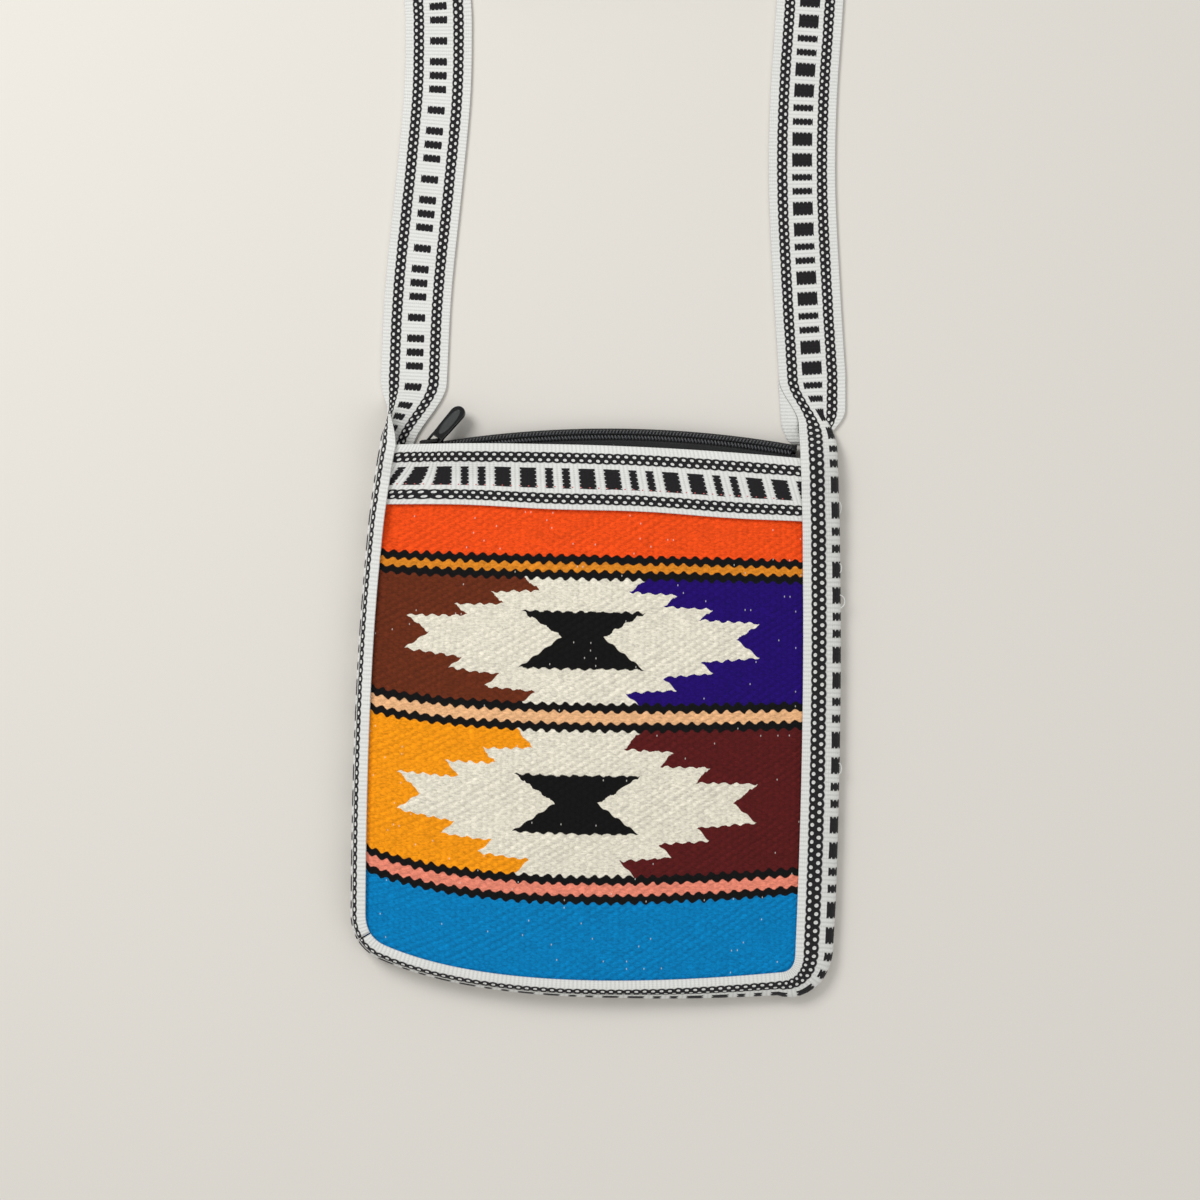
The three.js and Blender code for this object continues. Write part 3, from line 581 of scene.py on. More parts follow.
def band_cotton(name, bars, bar_reach):
    """The black and white band, with black bars at the given cells and a chain along each side."""
    finish = Finish(name)
    across, cells = finish.weave()
    stray = finish.between(finish.object_noise(260), -0.22, 0.22)
    across = finish.plus(across, stray)
    off = finish.math("ABSOLUTE", finish.minus(across, BAND_WIDTH / 2))
    place = finish.math("FLOORED_MODULO", cells, REPEAT_CELLS)
    inside = []
    for middle, half in bars:
        distance = finish.math("ABSOLUTE", finish.minus(place, middle))
        inside.append(finish.minus(half, distance))
    warp = finish.math("PINGPONG", across, 0.9)
    notch = finish.math("MULTIPLY_ADD", warp, 2.4, -1.35, clamp=True)
    ends = finish.math("MULTIPLY_ADD", notch, -0.26, finish.largest(inside))
    ends = finish.minus(ends, 0.02)
    sides = finish.minus(bar_reach, off)
    bar = finish.math("MINIMUM", finish.soft_step(ends, 12), finish.soft_step(sides, 5))
    rings = []
    dots = []
    for column, stagger in CHAIN_COLUMNS:
        side = finish.minus(off, column)
        along = finish.math("FRACT", finish.plus(cells, stagger))
        along = finish.times(finish.minus(along, 0.5), CHAIN_LINK)
        for group, (wide, long) in ((rings, RING_REACH), (dots, DOT_REACH)):
            first = finish.math("POWER", finish.math("DIVIDE", side, wide), 2)
            second = finish.math("POWER", finish.math("DIVIDE", along, long), 2)
            reach = finish.minus(1, finish.plus(first, second))
            group.append(finish.soft_step(reach, 2.5))
    hollow = finish.minus(1, finish.largest(dots))
    chain = finish.math("MINIMUM", finish.largest(rings), hollow)
    ink = finish.math("MAXIMUM", bar, chain)
    ribs = finish.math("ABSOLUTE", finish.math("SINE", finish.times(cells, 2 * math.pi)))
    threads = finish.math("ABSOLUTE", finish.math("SINE", finish.times(across, 3.5)))
    fuzz = finish.object_noise(1500, detail=3)
    # Painted shade: the white is darker in the grooves between ribs, where the bump is low; the fuzz is
    # random tone
    rib_shade_and_fuzz = finish.times(finish.between(ribs, 0.84, 1.0), finish.between(fuzz, 0.9, 1.08))
    soil = finish.between(finish.object_noise(40), 0.94, 1.04)
    white = finish.dim(BAND_WHITE, finish.times(rib_shade_and_fuzz, soil))
    black = finish.dim(BAND_BLACK, finish.between(fuzz, 0.55, 1.5))
    finish.surface(finish.tint(ink, white, black), 0.92, 0.12, 0.25)
    ground = finish.math("MULTIPLY_ADD", ribs, 0.6, finish.times(threads, 0.25))
    raised = finish.math("MULTIPLY_ADD", ink, 0.5, finish.times(fuzz, 0.4))
    finish.bump(finish.plus(ground, raised), 0.35, 0.8)
    return finish.material


def motif_over(finish, ground, off, row, motif_rows, waist_rows):
    """A stepped cream diamond with a black hourglass, over its ground."""
    cream = finish.minus(finish.width_at(row, motif_rows, MOTIF_WIDTHS), off)
    waist = finish.minus(finish.width_at(row, waist_rows, HOURGLASS_WIDTHS), off)
    start = finish.minus(row, waist_rows[0])
    end = finish.minus(waist_rows[-1], row)
    within = finish.math("MINIMUM", start, end)
    diamond = finish.tint(finish.soft_step(cream, YARN_EDGE), ground, CREAM)
    return finish.tint(finish.soft_step(finish.math("MINIMUM", waist, within), YARN_EDGE), diamond, BLACK)


def panel_design(finish, across, down):
    """The colour of the yarn at each place of the panel."""
    columns = finish.math("MULTIPLY_ADD", across, math.pi * PANEL_COLUMNS, -math.pi / 2)
    wave = finish.math("COSINE", columns)
    stray = finish.between(finish.object_noise(420), -0.0035, 0.0035)
    tilt = finish.math("MULTIPLY_ADD", across, 2 * ROW_TILT, -ROW_TILT)
    level = finish.plus(finish.plus(down, tilt), stray)
    row = finish.math("MULTIPLY_ADD", wave, -STRIPE_WAVE, level)
    motif_row = finish.math("MULTIPLY_ADD", wave, -MOTIF_WAVE, level)
    side = finish.minus(across, MOTIF_MIDDLE)
    off = finish.plus(finish.math("ABSOLUTE", side), stray)
    right_half = finish.soft_step(side, YARN_EDGE)
    colour = None
    for begin, left, right in FIELDS:
        ground = left if left == right else finish.tint(right_half, left, right)
        if left in MOTIFS:
            ground = motif_over(finish, ground, off, motif_row, *MOTIFS[left])
        if colour is None:
            colour = ground
        else:
            passed = finish.soft_step(finish.minus(row, begin), YARN_EDGE)
            colour = finish.tint(passed, colour, ground)
    return colour


def warp_flecks(finish, across, down):
    """Specks of the pale warp between a few beads."""
    column = finish.times(across, PANEL_COLUMNS)
    row = finish.times(down, PANEL_ROWS)
    cell = finish.nodes.new("ShaderNodeCombineXYZ")
    finish.link(finish.math("FLOOR", column), cell.inputs["X"])
    finish.link(finish.math("FLOOR", row), cell.inputs["Y"])
    draw = finish.nodes.new("ShaderNodeTexWhiteNoise")
    draw.noise_dimensions = "2D"
    finish.link(cell.outputs["Vector"], draw.inputs["Vector"])
    wide = finish.times(finish.minus(finish.math("FRACT", column), 0.5), 9)
    long = finish.times(finish.minus(finish.math("FRACT", row), 0.5), 6)
    spread = finish.plus(finish.math("POWER", wide, 2), finish.math("POWER", long, 2))
    speck = finish.math("SUBTRACT", 1, spread, clamp=True)
    chosen = finish.math("GREATER_THAN", draw.outputs["Value"], 1 - FLECK_SHARE)
    return finish.times(speck, chosen)


def panel_wool(name):
    """Weft-faced wool in its design, with slanted plies and fine fibres, and painted shade along the ply
    grooves and in the bead hollows.
    """
    finish = Finish(name)
    across, down = finish.cloth_place()
    tone_with_painted_shade = finish.nodes.new("ShaderNodeAttribute")
    tone_with_painted_shade.attribute_name = "bead_tone_and_hollow_shade"
    fibre = finish.object_noise(900, (0.6, 1.5, 1), detail=4)
    hair = finish.object_noise(2600)
    slant = finish.plus(finish.times(across, 230), finish.times(down, 380))
    ply = finish.math("SINE", finish.plus(slant, finish.times(fibre, 3)))
    amount = finish.times(finish.between(fibre, 0.5, 1.5), finish.between(hair, 0.75, 1.25))
    # Painted shade: about five percent darker along the ply grooves, where the bump is low
    amount = finish.times(amount, finish.math("MULTIPLY_ADD", ply, 0.05, 1.0))
    # The attribute holds each bead's random tone, with painted shade in the hollows between beads
    amount = finish.times(amount, tone_with_painted_shade.outputs["Fac"])
    wool = finish.dim(panel_design(finish, across, down), amount)
    flecks = finish.times(warp_flecks(finish, across, down), 0.75)
    finish.surface(finish.tint(flecks, wool, WARP), 0.96, 0.05, 0.15)
    relief = finish.math("MULTIPLY_ADD", ply, 0.2, finish.math("MULTIPLY_ADD", hair, 0.5, fibre))
    finish.bump(relief, 0.4, 0.8)
    return finish.material


def tape_cloth(name):
    """Black zip tape in a fine herringbone."""
    finish = Finish(name)
    across, cells = finish.weave()
    along = finish.times(cells, 40)
    slant = finish.math("MULTIPLY_ADD", finish.math("PINGPONG", across, 1.2), 6, along)
    twill = finish.math("ABSOLUTE", finish.math("SINE", slant))
    fuzz = finish.object_noise(1800, detail=3)
    # Painted shade: the tape is darker in the twill's grooves, where the bump is low; the fuzz is random
    # tone
    amount = finish.times(finish.between(twill, 0.75, 1.25), finish.between(fuzz, 0.6, 1.5))
    finish.surface(finish.dim(ZIP_BLACK, amount), 0.85, 0.1)
    finish.bump(finish.plus(twill, fuzz), 0.18, 0.7)
    return finish.material


def coil_nylon(name):
    """Black nylon coloured grey as painted highlight, worn a little paler in places."""
    finish = Finish(name)
    wear = finish.object_noise(700, detail=3)
    highlight_grey_and_wear = finish.dim(COIL_HIGHLIGHT_GREY, finish.between(wear, 0.6, 1.5))
    finish.surface(highlight_grey_and_wear, finish.between(wear, 0.18, 0.4))
    return finish.material


def metal_enamel(name, colour):
    """Glossy black paint on cast metal, with fine rubs."""
    finish = Finish(name)
    rubs = finish.object_noise(900, (1, 0.15, 1), detail=4)
    paint = finish.dim(colour, finish.between(rubs, 0.7, 1.6))
    finish.surface(paint, finish.between(rubs, 0.08, 0.2), specular=0.4)
    finish.bump(rubs, 0.01, 0.4)
    return finish.material


def thread_cotton(name, colour):
    finish = Finish(name)
    fuzz = finish.object_noise(2200, detail=3)
    finish.surface(finish.dim(colour, finish.between(fuzz, 0.75, 1.2)), 0.9)
    finish.bump(fuzz, 0.1, 0.6)
    return finish.material


band_face = band_cotton("band_face", FACE_BARS, FACE_BAR_REACH)
band_reverse = band_cotton("band_reverse", REVERSE_BARS, REVERSE_BAR_REACH)
wool = panel_wool("panel_wool")
zip_cloth = tape_cloth("zip_tape_cloth")
nylon = coil_nylon("coil_nylon")
enamel = metal_enamel("black_enamel", ENAMEL)
rim_highlight_enamel = metal_enamel("rim_highlight_enamel", RIM_HIGHLIGHT_GREY)
pink_thread = thread_cotton("pink_thread", STITCH_PINK)
white_thread = thread_cotton("white_thread", BAND_WHITE)


# Pieces


def add_object(name, data):
    item = bpy.data.objects.new(name, data)
    bpy.context.scene.collection.objects.link(item)
    return item


def made_mesh(maker, name):
    mesh = bpy.data.meshes.new(name)
    maker.to_mesh(mesh)
    maker.free()
    return mesh


def settled_mesh(holder):
    """The final mesh of an object that is then taken away."""
    settled = holder.evaluated_get(bpy.context.evaluated_depsgraph_get())
    mesh = bpy.data.meshes.new_from_object(settled)
    bpy.data.objects.remove(holder)
    return mesh


def add_piece(name, mesh, materials, body):
    """A smooth piece that rides on its body."""
    mesh.polygons.foreach_set("use_smooth", [True] * len(mesh.polygons))
    mesh.update()
    piece = add_object(name, mesh)
    for material in materials:
        mesh.materials.append(material)
    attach(piece, body)
    return piece


def cloth_piece(name, rows, across, cells, thickness, materials):
    """Cloth of even thickness through a grid of points, with its weave's own coordinates."""
    row_count, column_count = rows.shape[:2]
    maker = bmesh.new()
    weave = maker.loops.layers.uv.new("weave")
    bmesh.ops.create_grid(maker, x_segments=column_count - 1, y_segments=row_count - 1, size=0.5)
    spots = {}
    for vert in maker.verts:
        column = round((vert.co.x + 0.5) * (column_count - 1))
        row = round((vert.co.y + 0.5) * (row_count - 1))
        spots[vert] = (row, column)
    for face in maker.faces:
        for corner in face.loops:
            row, column = spots[corner.vert]
            corner[weave].uv = (across[row, column] / BAND_WIDTH, cells[row, column] / REPEAT_CELLS)
    for vert, spot in spots.items():
        vert.co = rows[spot] * MM
    piece = add_piece(name, made_mesh(maker, name), materials, "bag")
    shell = piece.modifiers.new("cloth_thickness", "SOLIDIFY")
    shell.thickness = thickness * MM
    shell.offset = 0
    shell.material_offset = len(materials) - 1
    return piece


def bead_lattice():
    """Flat rows and columns of raised beads, each column half a bead lower than the last."""
    maker = bmesh.new()
    in_pair = maker.faces.layers.int.new("bead_in_pair")
    for bead in (0, 1):
        turned = Matrix.Rotation(math.pi / 2, 4, "Z")
        ring = bmesh.ops.create_circle(maker, cap_ends=True, segments=6, radius=1, matrix=turned)["verts"]
        for vert in ring:
            wide = abs(vert.co.y) < 0.1
            vert.co.x = math.copysign(BEAD_WIDE if wide else BEAD_NARROW, vert.co.x)
            vert.co.y = 0 if wide else math.copysign(0.5, vert.co.y)
        bmesh.ops.translate(maker, verts=ring, vec=(bead, 0.5 * bead, -1))
        cap = ring[0].link_faces[0]
        cap.normal_update()
        if cap.normal.z < 0:
            cap.normal_flip()
        bmesh.ops.inset_individual(maker, faces=[cap], thickness=BEAD_INSET)
        for vert in cap.verts:
            vert.co.x += BEAD_SLANT * (vert.co.y - 0.5 * bead)
            vert.co.z = -BEAD_SHOULDER
        crest = bmesh.ops.poke(maker, faces=[cap])["verts"][0]
        crest.co.z = 0
        fresh = [face for face in maker.faces if face[in_pair] == 0]
        for face in fresh:
            face[in_pair] = bead + 1
    pair = add_object("bead_pair", made_mesh(maker, "bead_pair"))
    for count, step in ((PANEL_ROWS, (0, 1, 0)), (PANEL_COLUMNS // 2, (2, 0, 0))):
        repeat = pair.modifiers.new("repeat", "ARRAY")
        repeat.count = count
        repeat.use_relative_offset = False
        repeat.use_constant_offset = True
        repeat.constant_offset_displace = step
    lattice = settled_mesh(pair)
    maker = bmesh.new()
    maker.from_mesh(lattice)
    bmesh.ops.remove_doubles(maker, verts=maker.verts, dist=0.01)
    maker.to_mesh(lattice)
    maker.free()
    return lattice


def wool_panel(name, seam, edges, height, lattice, downwards):
    """A weft-faced panel of beads, each in its own tone, with painted shade darkening the hollows between
    beads.
    """
    mesh = lattice.copy()
    mesh.name = name
    spots = np.empty(len(mesh.vertices) * 3)
    mesh.vertices.foreach_get("co", spots)
    spots = spots.reshape(-1, 3)
    across = np.clip((spots[:, 0] + 0.5) / PANEL_COLUMNS, 0, 1)
    down = np.clip((spots[:, 1] + 0.5) / (PANEL_ROWS + 0.5), 0, 1)
    if not downwards:
        down = 1 - down
    place = panel_patch(seam, edges)(across, down)
    relief = spots[:, 2] * BEAD_RELIEF * (-1 if downwards else 1)
    level = height(across, down, place[:, 0], place[:, 1]) + relief
    mesh.vertices.foreach_set("co", (np.column_stack([place, level]) * MM).ravel())

    face_count = len(mesh.polygons)
    bead = np.empty(face_count, np.int32)
    mesh.attributes["bead_in_pair"].data.foreach_get("value", bead)
    bead -= 1
    bead += 2 * (np.arange(face_count) // FACES_IN_PAIR)
    tones = chance.normal(1, TONE_SPREAD, PANEL_COLUMNS * PANEL_ROWS).clip(0.9, 1.1)
    corner_vertex = np.empty(len(mesh.loops), np.int32)
    mesh.loops.foreach_get("vertex_index", corner_vertex)
    corner_count = np.empty(face_count, np.int32)
    mesh.polygons.foreach_get("loop_total", corner_count)
    hollow = -spots[corner_vertex, 2]
    # Each bead's random tone, times painted shade about ten percent darker in the hollows between beads
    tone_with_painted_shade = np.repeat(tones[bead], corner_count) * (1.04 - 0.1 * hollow)
    bead_tone_and_hollow_shade = mesh.attributes.new("bead_tone_and_hollow_shade", "FLOAT", "CORNER")
    bead_tone_and_hollow_shade.data.foreach_set("value", tone_with_painted_shade)
    weave = mesh.uv_layers.new(name="weave")
    weave.data.foreach_set("uv", np.column_stack([across, down])[corner_vertex].ravel())
    piece = add_piece(name, mesh, [wool], "bag")
    shell = piece.modifiers.new("cloth_thickness", "SOLIDIFY")
    shell.thickness = (PANEL_THICKNESS - BEAD_RELIEF) * MM
    shell.offset = -1
    return piece


def band_piece(name, rows, across, cells):
    """A piece of the woven band, with its face and its reverse."""
    cloth = [band_face, band_reverse]
    return cloth_piece(name, rows, across, cells, BAND_THICKNESS, cloth)


# Columns across a band and rows along it, close together at the edges
band_columns = np.concatenate([[0, 0.012], np.linspace(0.04, 0.96, 21), [0.988, 1]])
band_rows = np.concatenate([[0, 0.006], np.linspace(0.02, 0.98, 90), [0.994, 1]])


def front_top_band():
    """The band across the front's top, its upper edge against the zip."""
    share, column = np.meshgrid(band_rows, band_columns, indexing="ij")
    height = 1 - column
    place = on_band(front_band_edges, share, height)
    x, y = place[..., 0], place[..., 1]
    y = y + FRONT_BAND_WAVE * column * np.sin(x / FRONT_BAND_WAVE_LENGTH)
    level = band_middle(x, y, height)
    rows = np.stack([x, y, level], -1)
    lean = TOP_BAND_LEAN * ease(x, *TOP_BAND_LEAN_SPAN)
    lean -= LEFT_END_LEAN * (1 - ease(x, *LEFT_END_LEAN_SPAN))
    across = column * SHOWN_WEAVE
    cells = (x - lean * (across - LEAN_MIDDLE) - TOP_BAND_FIRST_CELL) / TOP_BAND_CELL
    return band_piece("front_top_band_cotton", rows, across, cells)


def back_top_band():
    """The band across the back's top, lying on the floor."""
    share, column = np.meshgrid(band_rows, band_columns, indexing="ij")
    place = on_band(back_edges, share, column)
    level = BAND_THICKNESS / 2 + edge_lift(share, BAND_END)
    rows = np.concatenate([place, level[..., None]], -1)
    across = column * BAND_WIDTH
    cells = (place[..., 0] - TOP_BAND_FIRST_CELL) / TOP_BAND_CELL
    return band_piece("back_top_band_cotton", rows, across, cells)


def selvedge_rest(point, edges, share):
    """The height of the layer that the gusset's front edge is sewn on."""
    low = edges[0].even(share)[1]
    high = edges[1].even(share)[1]
    height = (point[1] - low) / (high - low)
    return top_plane(*point) + LAYER_LIFT * ease(height, *LAP_SPAN) + band_rise(point[0], height)


def gusset_section(place):
    """The folded gusset's seven points from its front edge to its back edge."""
    front = seam_point(front_seam, place)
    top = selvedge_rest(front, front_edges, 0 if place < 2.5 else 1) + SELVEDGE_GAP + BAND_THICKNESS / 2
    fold = np.interp(place, FOLD_PLACES, FOLD_WIDTHS)
    fold_height = top * FOLD_HEIGHT_SHARE
    crease = seam_point(front_seam, place, fold)
    back_lapped = seam_point(back_seam, place, SELVEDGE_LAP)
    return np.array([
        (*front, top),
        (*seam_point(front_seam, place, SELVEDGE_LAP), top - 0.3),
        (*seam_point(front_seam, place, mix(SELVEDGE_LAP, fold, 0.62)), mix(top, fold_height, 0.45)),
        (*crease, fold_height),
        (*mix(crease, back_lapped, 0.5), mix(STRAP_REST, fold_height, 0.3)),
        (*back_lapped, STRAP_REST),
        (*seam_point(back_seam, place), STRAP_REST),
    ])


def gusset_rows(start, end):
    """The gusset's sections from one place of the seam to another."""
    places = []
    for index, steps in enumerate(SEAM_STEPS):
        places += [index + step / steps for step in range(steps)]
    places = [place for place in places if start + 0.01 < place < end - 0.01]
    return [gusset_section(place) for place in (start, *places, end)]


def strap_row(x, y, z, across=(1, 0)):
    """A straight row of points across the strap."""
    reach = (SECTION_SHARES - 0.5) * BAND_WIDTH
    return np.column_stack([x + reach * across[0], y + reach * across[1], np.full(len(reach), z)])


def fold_rows(x, y, z, across, outwards):
    """The rows of a half turn, where the strap is folded back over itself."""
    rows = []
    for angle in np.linspace(0, math.pi, 9):
        reach = math.sin(angle) * LAYER / 2
        rise = (1 - math.cos(angle)) * LAYER / 2
        rows.append(strap_row(x + reach * outwards[0], y + reach * outwards[1], z + rise, across))
    return rows


def leg_rows(corner, offsets):
    """The strap's rows from a corner of the bag up to the hank, flat on the floor."""
    middle = smooth_route(corner + np.array(offsets))
    rows = []
    for share in np.linspace(0, 1, LEG_STEPS + 1):
        x, y = middle.at(share)
        along = middle.heading(np.clip(share, 0.002, 0.998))
        rows.append(strap_row(x, y, STRAP_REST, (along[1], -along[0])))
    return rows


def spread_rows(section, flat_row, leads, front_hold=0.0):
    """The band opening from its fold into the flat strap, its front edge held back for a while."""
    rows = []
    back_lead, sink_lead = leads
    leads = np.array([1, 1, 1, 1, back_lead, back_lead, back_lead])
    holds = front_hold * np.array([1, 0.9, 0.6, 0.2, 0, 0, 0])
    for step in range(1, SPREAD_STEPS):
        along = step / SPREAD_STEPS
        row = np.empty((7, 3))
        row[:, 0] = mix(section[:, 0], flat_row[:, 0], ease(along * leads, holds, 1))
        row[:, 1] = mix(section[:, 1], flat_row[:, 1], along)
        row[:, 2] = mix(section[:, 2], flat_row[:, 2], ease(along * sink_lead, 0, 1))
        rows.append(row)
    return rows


def right_opening():
    """The rows over which the band opens out of the right corner."""
    flat_row = leg_rows(front_seam[4].points[-1], RIGHT_LEG)[0]
    return spread_rows(gusset_section(5), flat_row, RIGHT_LEADS, RIGHT_EDGE_HOLD)


def turned_edge():
    """The strap's pale edge, turned back beside the band where it opens out of the right corner."""
    corner = front_seam[4].points[-1]
    rise = np.linspace(TURNED_HEIGHTS[0], TURNED_HEIGHTS[-1], 15)
    left = corner[0] + np.interp(rise, TURNED_HEIGHTS, TURNED_SIDES)
    front_edge = np.array(right_opening())[:, 0]
    right = np.interp(corner[1] + rise, front_edge[:, 1], front_edge[:, 0]) - TURNED_GAP
    right += TURNED_TUCK * (1 - ease(rise, *TURNED_TUCK_SPAN))
    share = np.linspace(0, 1, 7)
    x = mix(left[:, None], np.maximum(right, left + 0.1)[:, None], share)
    y = np.tile(corner[1] + rise[:, None], (1, 7))
    rows = np.stack([x, y, np.full_like(x, TURNED_THICKNESS / 2)], -1)
    across = np.tile(share * 3, (15, 1))
    return cloth_piece(
        "strap_turned_edge", rows, across, y / STRAP_CELL, TURNED_THICKNESS, [band_face]
    )


def hank_rows(right_x, left_x, middle_y):
    """The strap folded at a slant into flat runs, one on another, and out again."""
    up = (0, 1)
    slant = (1, 1)
    bend = (math.sqrt(0.5), -math.sqrt(0.5))
    half = BAND_WIDTH / 2
    run_right = right_x - HANK_RIGHT_INSET
    run_left = left_x + HANK_LEFT_INSET
    rows = fold_rows(right_x, middle_y + half + FOLD_CLEAR, STRAP_REST, (1, 0), up)
    rows += fold_rows(right_x, middle_y, STRAP_REST + LAYER, slant, bend)
    for share in np.linspace(0, 1, 11):
        x = mix(right_x - half - FOLD_CLEAR, run_right + FOLD_CLEAR + LAYER, share)
        height = mix(STRAP_REST + 2 * LAYER, STRAP_REST, ease(share, 0, 1))
        rows.append(strap_row(x, middle_y, height, up))
    for run in range(1, HANK_RUNS):
        height = STRAP_REST + (run - 1) * LAYER
        if run % 2:
            rows += fold_rows(run_left, middle_y, height, up, (-1, 0))
        else:
            rows += fold_rows(run_right, middle_y, height, up, (1, 0))
    for share in np.linspace(0, 1, 11):
        x = mix(run_left - LAYER, left_x + half + FOLD_CLEAR, share)
        height = mix(STRAP_REST + (HANK_RUNS - 1) * LAYER, STRAP_REST, ease(share, 0, 1))
        rows.append(strap_row(x, middle_y, height, up))
    rows += fold_rows(left_x, middle_y, STRAP_REST, slant, (-bend[0], -bend[1]))
    rows.append(strap_row(left_x, middle_y - half - FOLD_CLEAR, STRAP_REST + LAYER))
    return rows


def strap_band():
    """The one long band: the gusset, the strap's two legs and the hank between them."""
    right_corner = front_seam[4].points[-1]
    left_corner = front_seam[0].points[0]
    right_leg = leg_rows(right_corner, RIGHT_LEG)
    left_leg = leg_rows(left_corner, LEFT_LEG)
    right_gusset = gusset_rows(BAND_ENDS_PLACE + BAND_ENDS_GAP, 5)
    left_gusset = gusset_rows(0, BAND_ENDS_PLACE - BAND_ENDS_GAP)
    hank_right = right_corner[0] + RIGHT_LEG[-1][0]
    hank_left = left_corner[0] + LEFT_LEG[-1][0]
    strap = [
        *right_opening(),
        *right_leg,
        *hank_rows(hank_right, hank_left, SEAM_TOP + HANK_RISE),
        *left_leg[::-1],
        *spread_rows(left_gusset[0], left_leg[0], LEFT_LEADS)[::-1],
    ]
    rows = np.array([*right_gusset, *strap, *left_gusset])
    cell = np.full(len(rows), GUSSET_CELL)
    cell[len(right_gusset):len(right_gusset) + len(strap)] = STRAP_CELL
    steps = np.linalg.norm(np.diff(rows[:, 2:5].mean(1), axis=0), axis=1) / cell[1:]
    run = np.concatenate([[0], np.cumsum(steps)])
    rows = smooth_between(rows, SECTION_SHARES, band_columns)
    rows[..., 2] = np.maximum(rows[..., 2], STRAP_REST)
    across = np.tile(band_columns * BAND_WIDTH, (len(rows), 1))
    cells = np.tile(run[:, None], (1, len(band_columns)))
    return band_piece("strap_band_cotton", rows, across, cells)


zip_half = (ZIP_RIGHT - ZIP_LEFT) / 2
zip_radius = (zip_half ** 2 + ZIP_BOW ** 2) / (2 * ZIP_BOW)
zip_centre = ((ZIP_LEFT + ZIP_RIGHT) / 2, SEAM_TOP + ZIP_RISE - zip_radius)


def zip_frame(x):
    """A point of the chain, and the ways out of the bow, across the chain and out of its face."""
    angle = np.arcsin((x - zip_centre[0]) / zip_radius)
    zero = np.zeros_like(angle)
    upwards = np.stack([zero, zero, zero + 1], -1)
    radial = np.stack([np.sin(angle), np.cos(angle), zero], -1)
    across = math.sin(ZIP_TURN) * radial - math.cos(ZIP_TURN) * upwards
    face = math.cos(ZIP_TURN) * radial + math.sin(ZIP_TURN) * upwards
    origin = np.array([*zip_centre, ZIP_HEIGHT]) + zip_radius * radial
    return origin, radial, across, face


def zip_tape(name, side):
    """Half of the zip's tape, from the chain to its hem under the front band or on the back band."""
    x = np.linspace(ZIP_LEFT, ZIP_RIGHT, 90)
    origin, radial, across, face = zip_frame(x)
    columns = [origin + side * place * across - TAPE_THICKNESS / 2 * face for place in TAPE_PLACES]
    if side < 0:
        left, right = front_edges[1].even(0)[0], front_edges[1].even(1)[0]
        for height in HEM_PLACES:
            y = on_band(front_edges, (x - left) / (right - left), height)[:, 1]
            level = band_middle(x, y, height) - BAND_THICKNESS / 2 - HEM_GAP - TAPE_THICKNESS / 2
            columns.append(np.column_stack([x, y, level]))
    else:
        for reach in BACK_HEM_PLACES:
            hem = origin + reach * radial
            hem[:, 2] = BAND_THICKNESS + SEAT_GAP + TAPE_THICKNESS / 2
            columns.append(hem)
        columns.reverse()
    rows = np.stack(columns, 1)
    knots = np.arange(len(columns))
    wanted = np.linspace(0, knots[-1], 4 * knots[-1] + 1)
    rows = smooth_between(rows, knots, wanted)
    across = np.tile(wanted * 2, (len(x), 1))
    cells = np.tile(x[:, None] / STRAP_CELL, (1, len(wanted)))
    return cloth_piece(name, rows, across, cells, TAPE_THICKNESS, [zip_cloth])


def tube_mesh(name, lines, radius, sides):
    """Round threads along lines of points, as one mesh."""
    curve = bpy.data.curves.new(name, "CURVE")
    curve.dimensions = "3D"
    curve.bevel_depth = radius * MM
    curve.bevel_resolution = sides
    curve.use_fill_caps = True
    for line in lines:
        spline = curve.splines.new("POLY")
        spline.points.add(len(line) - 1)
        for point, place in zip(spline.points, line):
            point.co = (*(np.asarray(place) * MM), 1)
    mesh = settled_mesh(add_object(name, curve))
    bpy.data.curves.remove(curve)
    mesh.name = name
    return mesh


def zip_coil(name, side):
    """One of the chain's two coils, half a turn from the other."""
    turns = int((ZIP_RIGHT - ZIP_LEFT - 2 * COIL_INSET) / COIL_PITCH)
    angle = np.linspace(0, 2 * math.pi * turns, 12 * turns + 1)
    x = ZIP_LEFT + COIL_INSET + angle / (2 * math.pi) * COIL_PITCH + (COIL_PITCH / 2 if side > 0 else 0)
    origin, _, across, face = zip_frame(x)
    out = side * (COIL_MIDDLE - COIL_REACH * np.cos(angle))
    rise = COIL_CENTRE_HEIGHT + COIL_RISE * np.sin(angle)
    line = origin + out[:, None] * across + rise[:, None] * face
    return add_piece(name, tube_mesh(name, [line], COIL_WIRE, 1), [nylon], "bag")


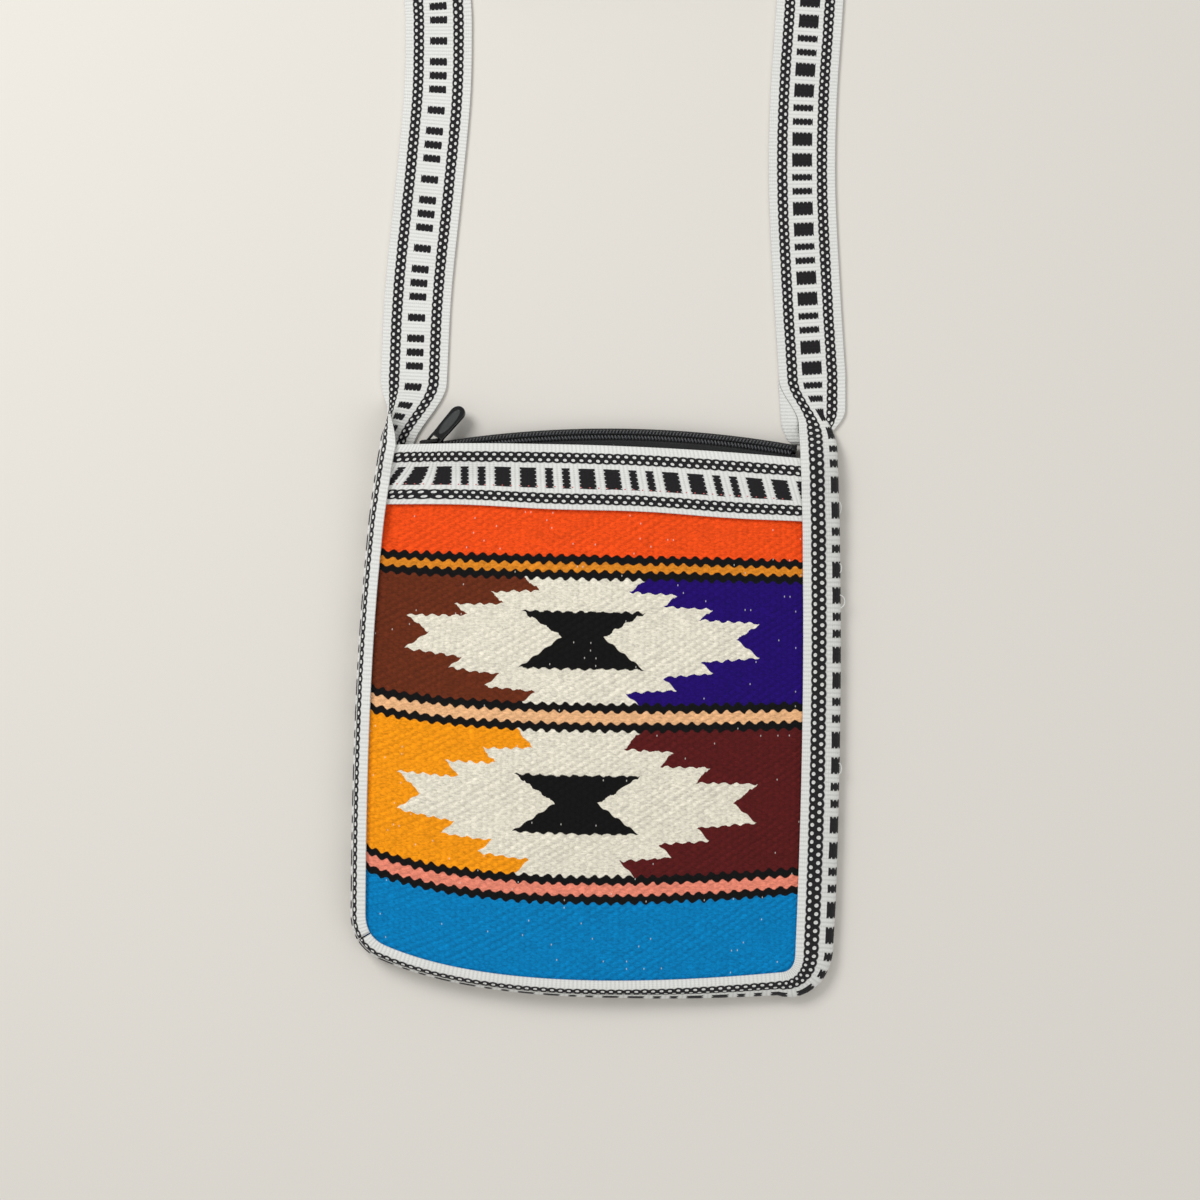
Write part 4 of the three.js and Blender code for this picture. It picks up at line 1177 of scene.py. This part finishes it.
def metal_piece(name, node, body, rounding):
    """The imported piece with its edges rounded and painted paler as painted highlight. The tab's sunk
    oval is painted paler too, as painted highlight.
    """
    maker = bmesh.new()
    maker.from_mesh(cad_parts[node].data)
    bmesh.ops.remove_doubles(maker, verts=maker.verts, dist=1e-6)
    bmesh.ops.dissolve_limit(maker, angle_limit=0.02, verts=maker.verts, edges=maker.edges)
    facing_up = max((face for face in maker.faces if face.normal.z > 0), key=lambda face: face.calc_area())
    for face in maker.faces:
        sunk = (facing_up.calc_center_median() - face.calc_center_median()).dot(facing_up.normal)
        alike = face.normal.dot(facing_up.normal) > 0.99
        # The tab's sunk oval takes the paler enamel, a painted highlight
        if node == "pull_tab" and alike and SUNK_OVAL[0] * MM < sunk < SUNK_OVAL[1] * MM:
            face.material_index = 1
    piece = add_piece(name, made_mesh(maker, name), [enamel, rim_highlight_enamel], body)
    round_edges = piece.modifiers.new("rounded_edges", "BEVEL")
    round_edges.width = rounding * MM
    round_edges.segments = 3
    # The rounded edges take the paler enamel, a painted highlight
    round_edges.material = 1
    round_edges.limit_method = "ANGLE"
    round_edges.angle_limit = 0.6
    round_edges.harden_normals = True
    return piece


def band_stitches():
    """Short pink stitches showing in a line above the front band's lower chain."""
    maker = bmesh.new()
    for x in np.arange(*STITCH_SPAN, STITCH_PITCH):
        place = on_band(front_band_edges, (x + STITCH_BAND_HALF) / (2 * STITCH_BAND_HALF), STITCH_HEIGHT)
        made = bmesh.ops.create_icosphere(maker, subdivisions=1, radius=STITCH_RADIUS * MM)["verts"]
        level = band_middle(*place, STITCH_HEIGHT) + BAND_THICKNESS / 2
        bmesh.ops.scale(maker, verts=made, vec=(1, 0.8, 0.4))
        bmesh.ops.translate(maker, verts=made, vec=np.array([*place, level]) * MM)
    mesh = made_mesh(maker, "band_stitches")
    return add_piece("band_stitches", mesh, [pink_thread], "bag")


def stray_threads():
    """Loose loops of band thread along the gusset's fold."""
    lines = []
    for y, reach, long in LOOSE_LOOPS:
        place = 4 + (y - front_seam[4].points[0, 1]) / front_seam[4].length
        crease = seam_point(front_seam, place, np.interp(place, FOLD_PLACES, FOLD_WIDTHS))
        share = np.linspace(0, 1, 25)
        out = crease[0] + 0.3 + reach * np.sin(math.pi * share)
        along = crease[1] + (share - 0.5) * long - 0.5 * np.sin(2 * math.pi * share)
        lines.append(np.column_stack([out, along, 6 + share]))
    mesh = tube_mesh("stray_threads", lines, LOOP_RADIUS, 1)
    return add_piece("stray_threads", mesh, [white_thread], "bag")


lattice = bead_lattice()
front_wool = wool_panel("front_panel_wool", front_seam, front_edges, front_height, lattice, False)
back_wool = wool_panel("back_panel_wool", back_seam, back_edges, back_height, lattice, True)
front_band = front_top_band()
back_band = back_top_band()
strap = strap_band()
tape_front = zip_tape("zip_tape_front_cloth", -1)
tape_back = zip_tape("zip_tape_back_cloth", 1)
coil_front = zip_coil("zip_coil_front_nylon", -1)
coil_back = zip_coil("zip_coil_back_nylon", 1)
slider = metal_piece("slider_body_enamel", "slider_body", "slider", SLIDER_ROUNDING)
tab = metal_piece("pull_tab_enamel", "pull_tab", "tab", TAB_ROUNDING)
stitches = band_stitches()
threads = stray_threads()
turned = turned_edge()

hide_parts("front_panel")
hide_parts("back_panel")
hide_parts("front_top_band")
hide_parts("back_top_band")
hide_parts("strap_band")
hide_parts("zip_tape_front")
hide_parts("zip_tape_back")
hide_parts("zip_coil_front")
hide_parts("zip_coil_back")
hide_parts("slider_body")
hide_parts("pull_tab")

# Floor, light and camera
floor_maker = bmesh.new()
bmesh.ops.create_grid(floor_maker, x_segments=1, y_segments=1, size=4)
floor = add_object("floor", made_mesh(floor_maker, "floor"))
floor_finish = Finish("floor")
floor_finish.surface((*FLOOR, 1), 0.9)
floor.data.materials.append(floor_finish.material)
floor.location.z = -FLOOR_DROP

world = bpy.data.worlds.new("studio")
world.use_nodes = True
sky = world.node_tree.nodes["Background"].inputs
sky["Color"].default_value = (1, 1, 1, 1)
sky["Strength"].default_value = WORLD_LIGHT
bpy.context.scene.world = world


def soft_lamp(name, place, size, power):
    lamp = bpy.data.lights.new(name, "AREA")
    lamp.size = size
    lamp.energy = power
    holder = add_object(name, lamp)
    holder.location = place
    away = holder.location - Vector(LIT_PLACE)
    holder.rotation_euler = away.to_track_quat("Z", "Y").to_euler()


soft_lamp("key_lamp", (-0.7, 0.75, 1.1), 0.6, KEY_POWER)
soft_lamp("fill_lamp", (0.8, -0.6, 1.2), 1.0, FILL_POWER)

lens = bpy.data.cameras.new("camera")
lens.sensor_width = 36
lens.lens = lens.sensor_width * (CAMERA_HEIGHT - PANEL_LEVEL) / VIEW_WIDTH
camera = add_object("camera", lens)
camera.location = (*VIEW_MIDDLE, CAMERA_HEIGHT)
bpy.context.scene.camera = camera
bpy.context.scene.view_settings.view_transform = "Standard"
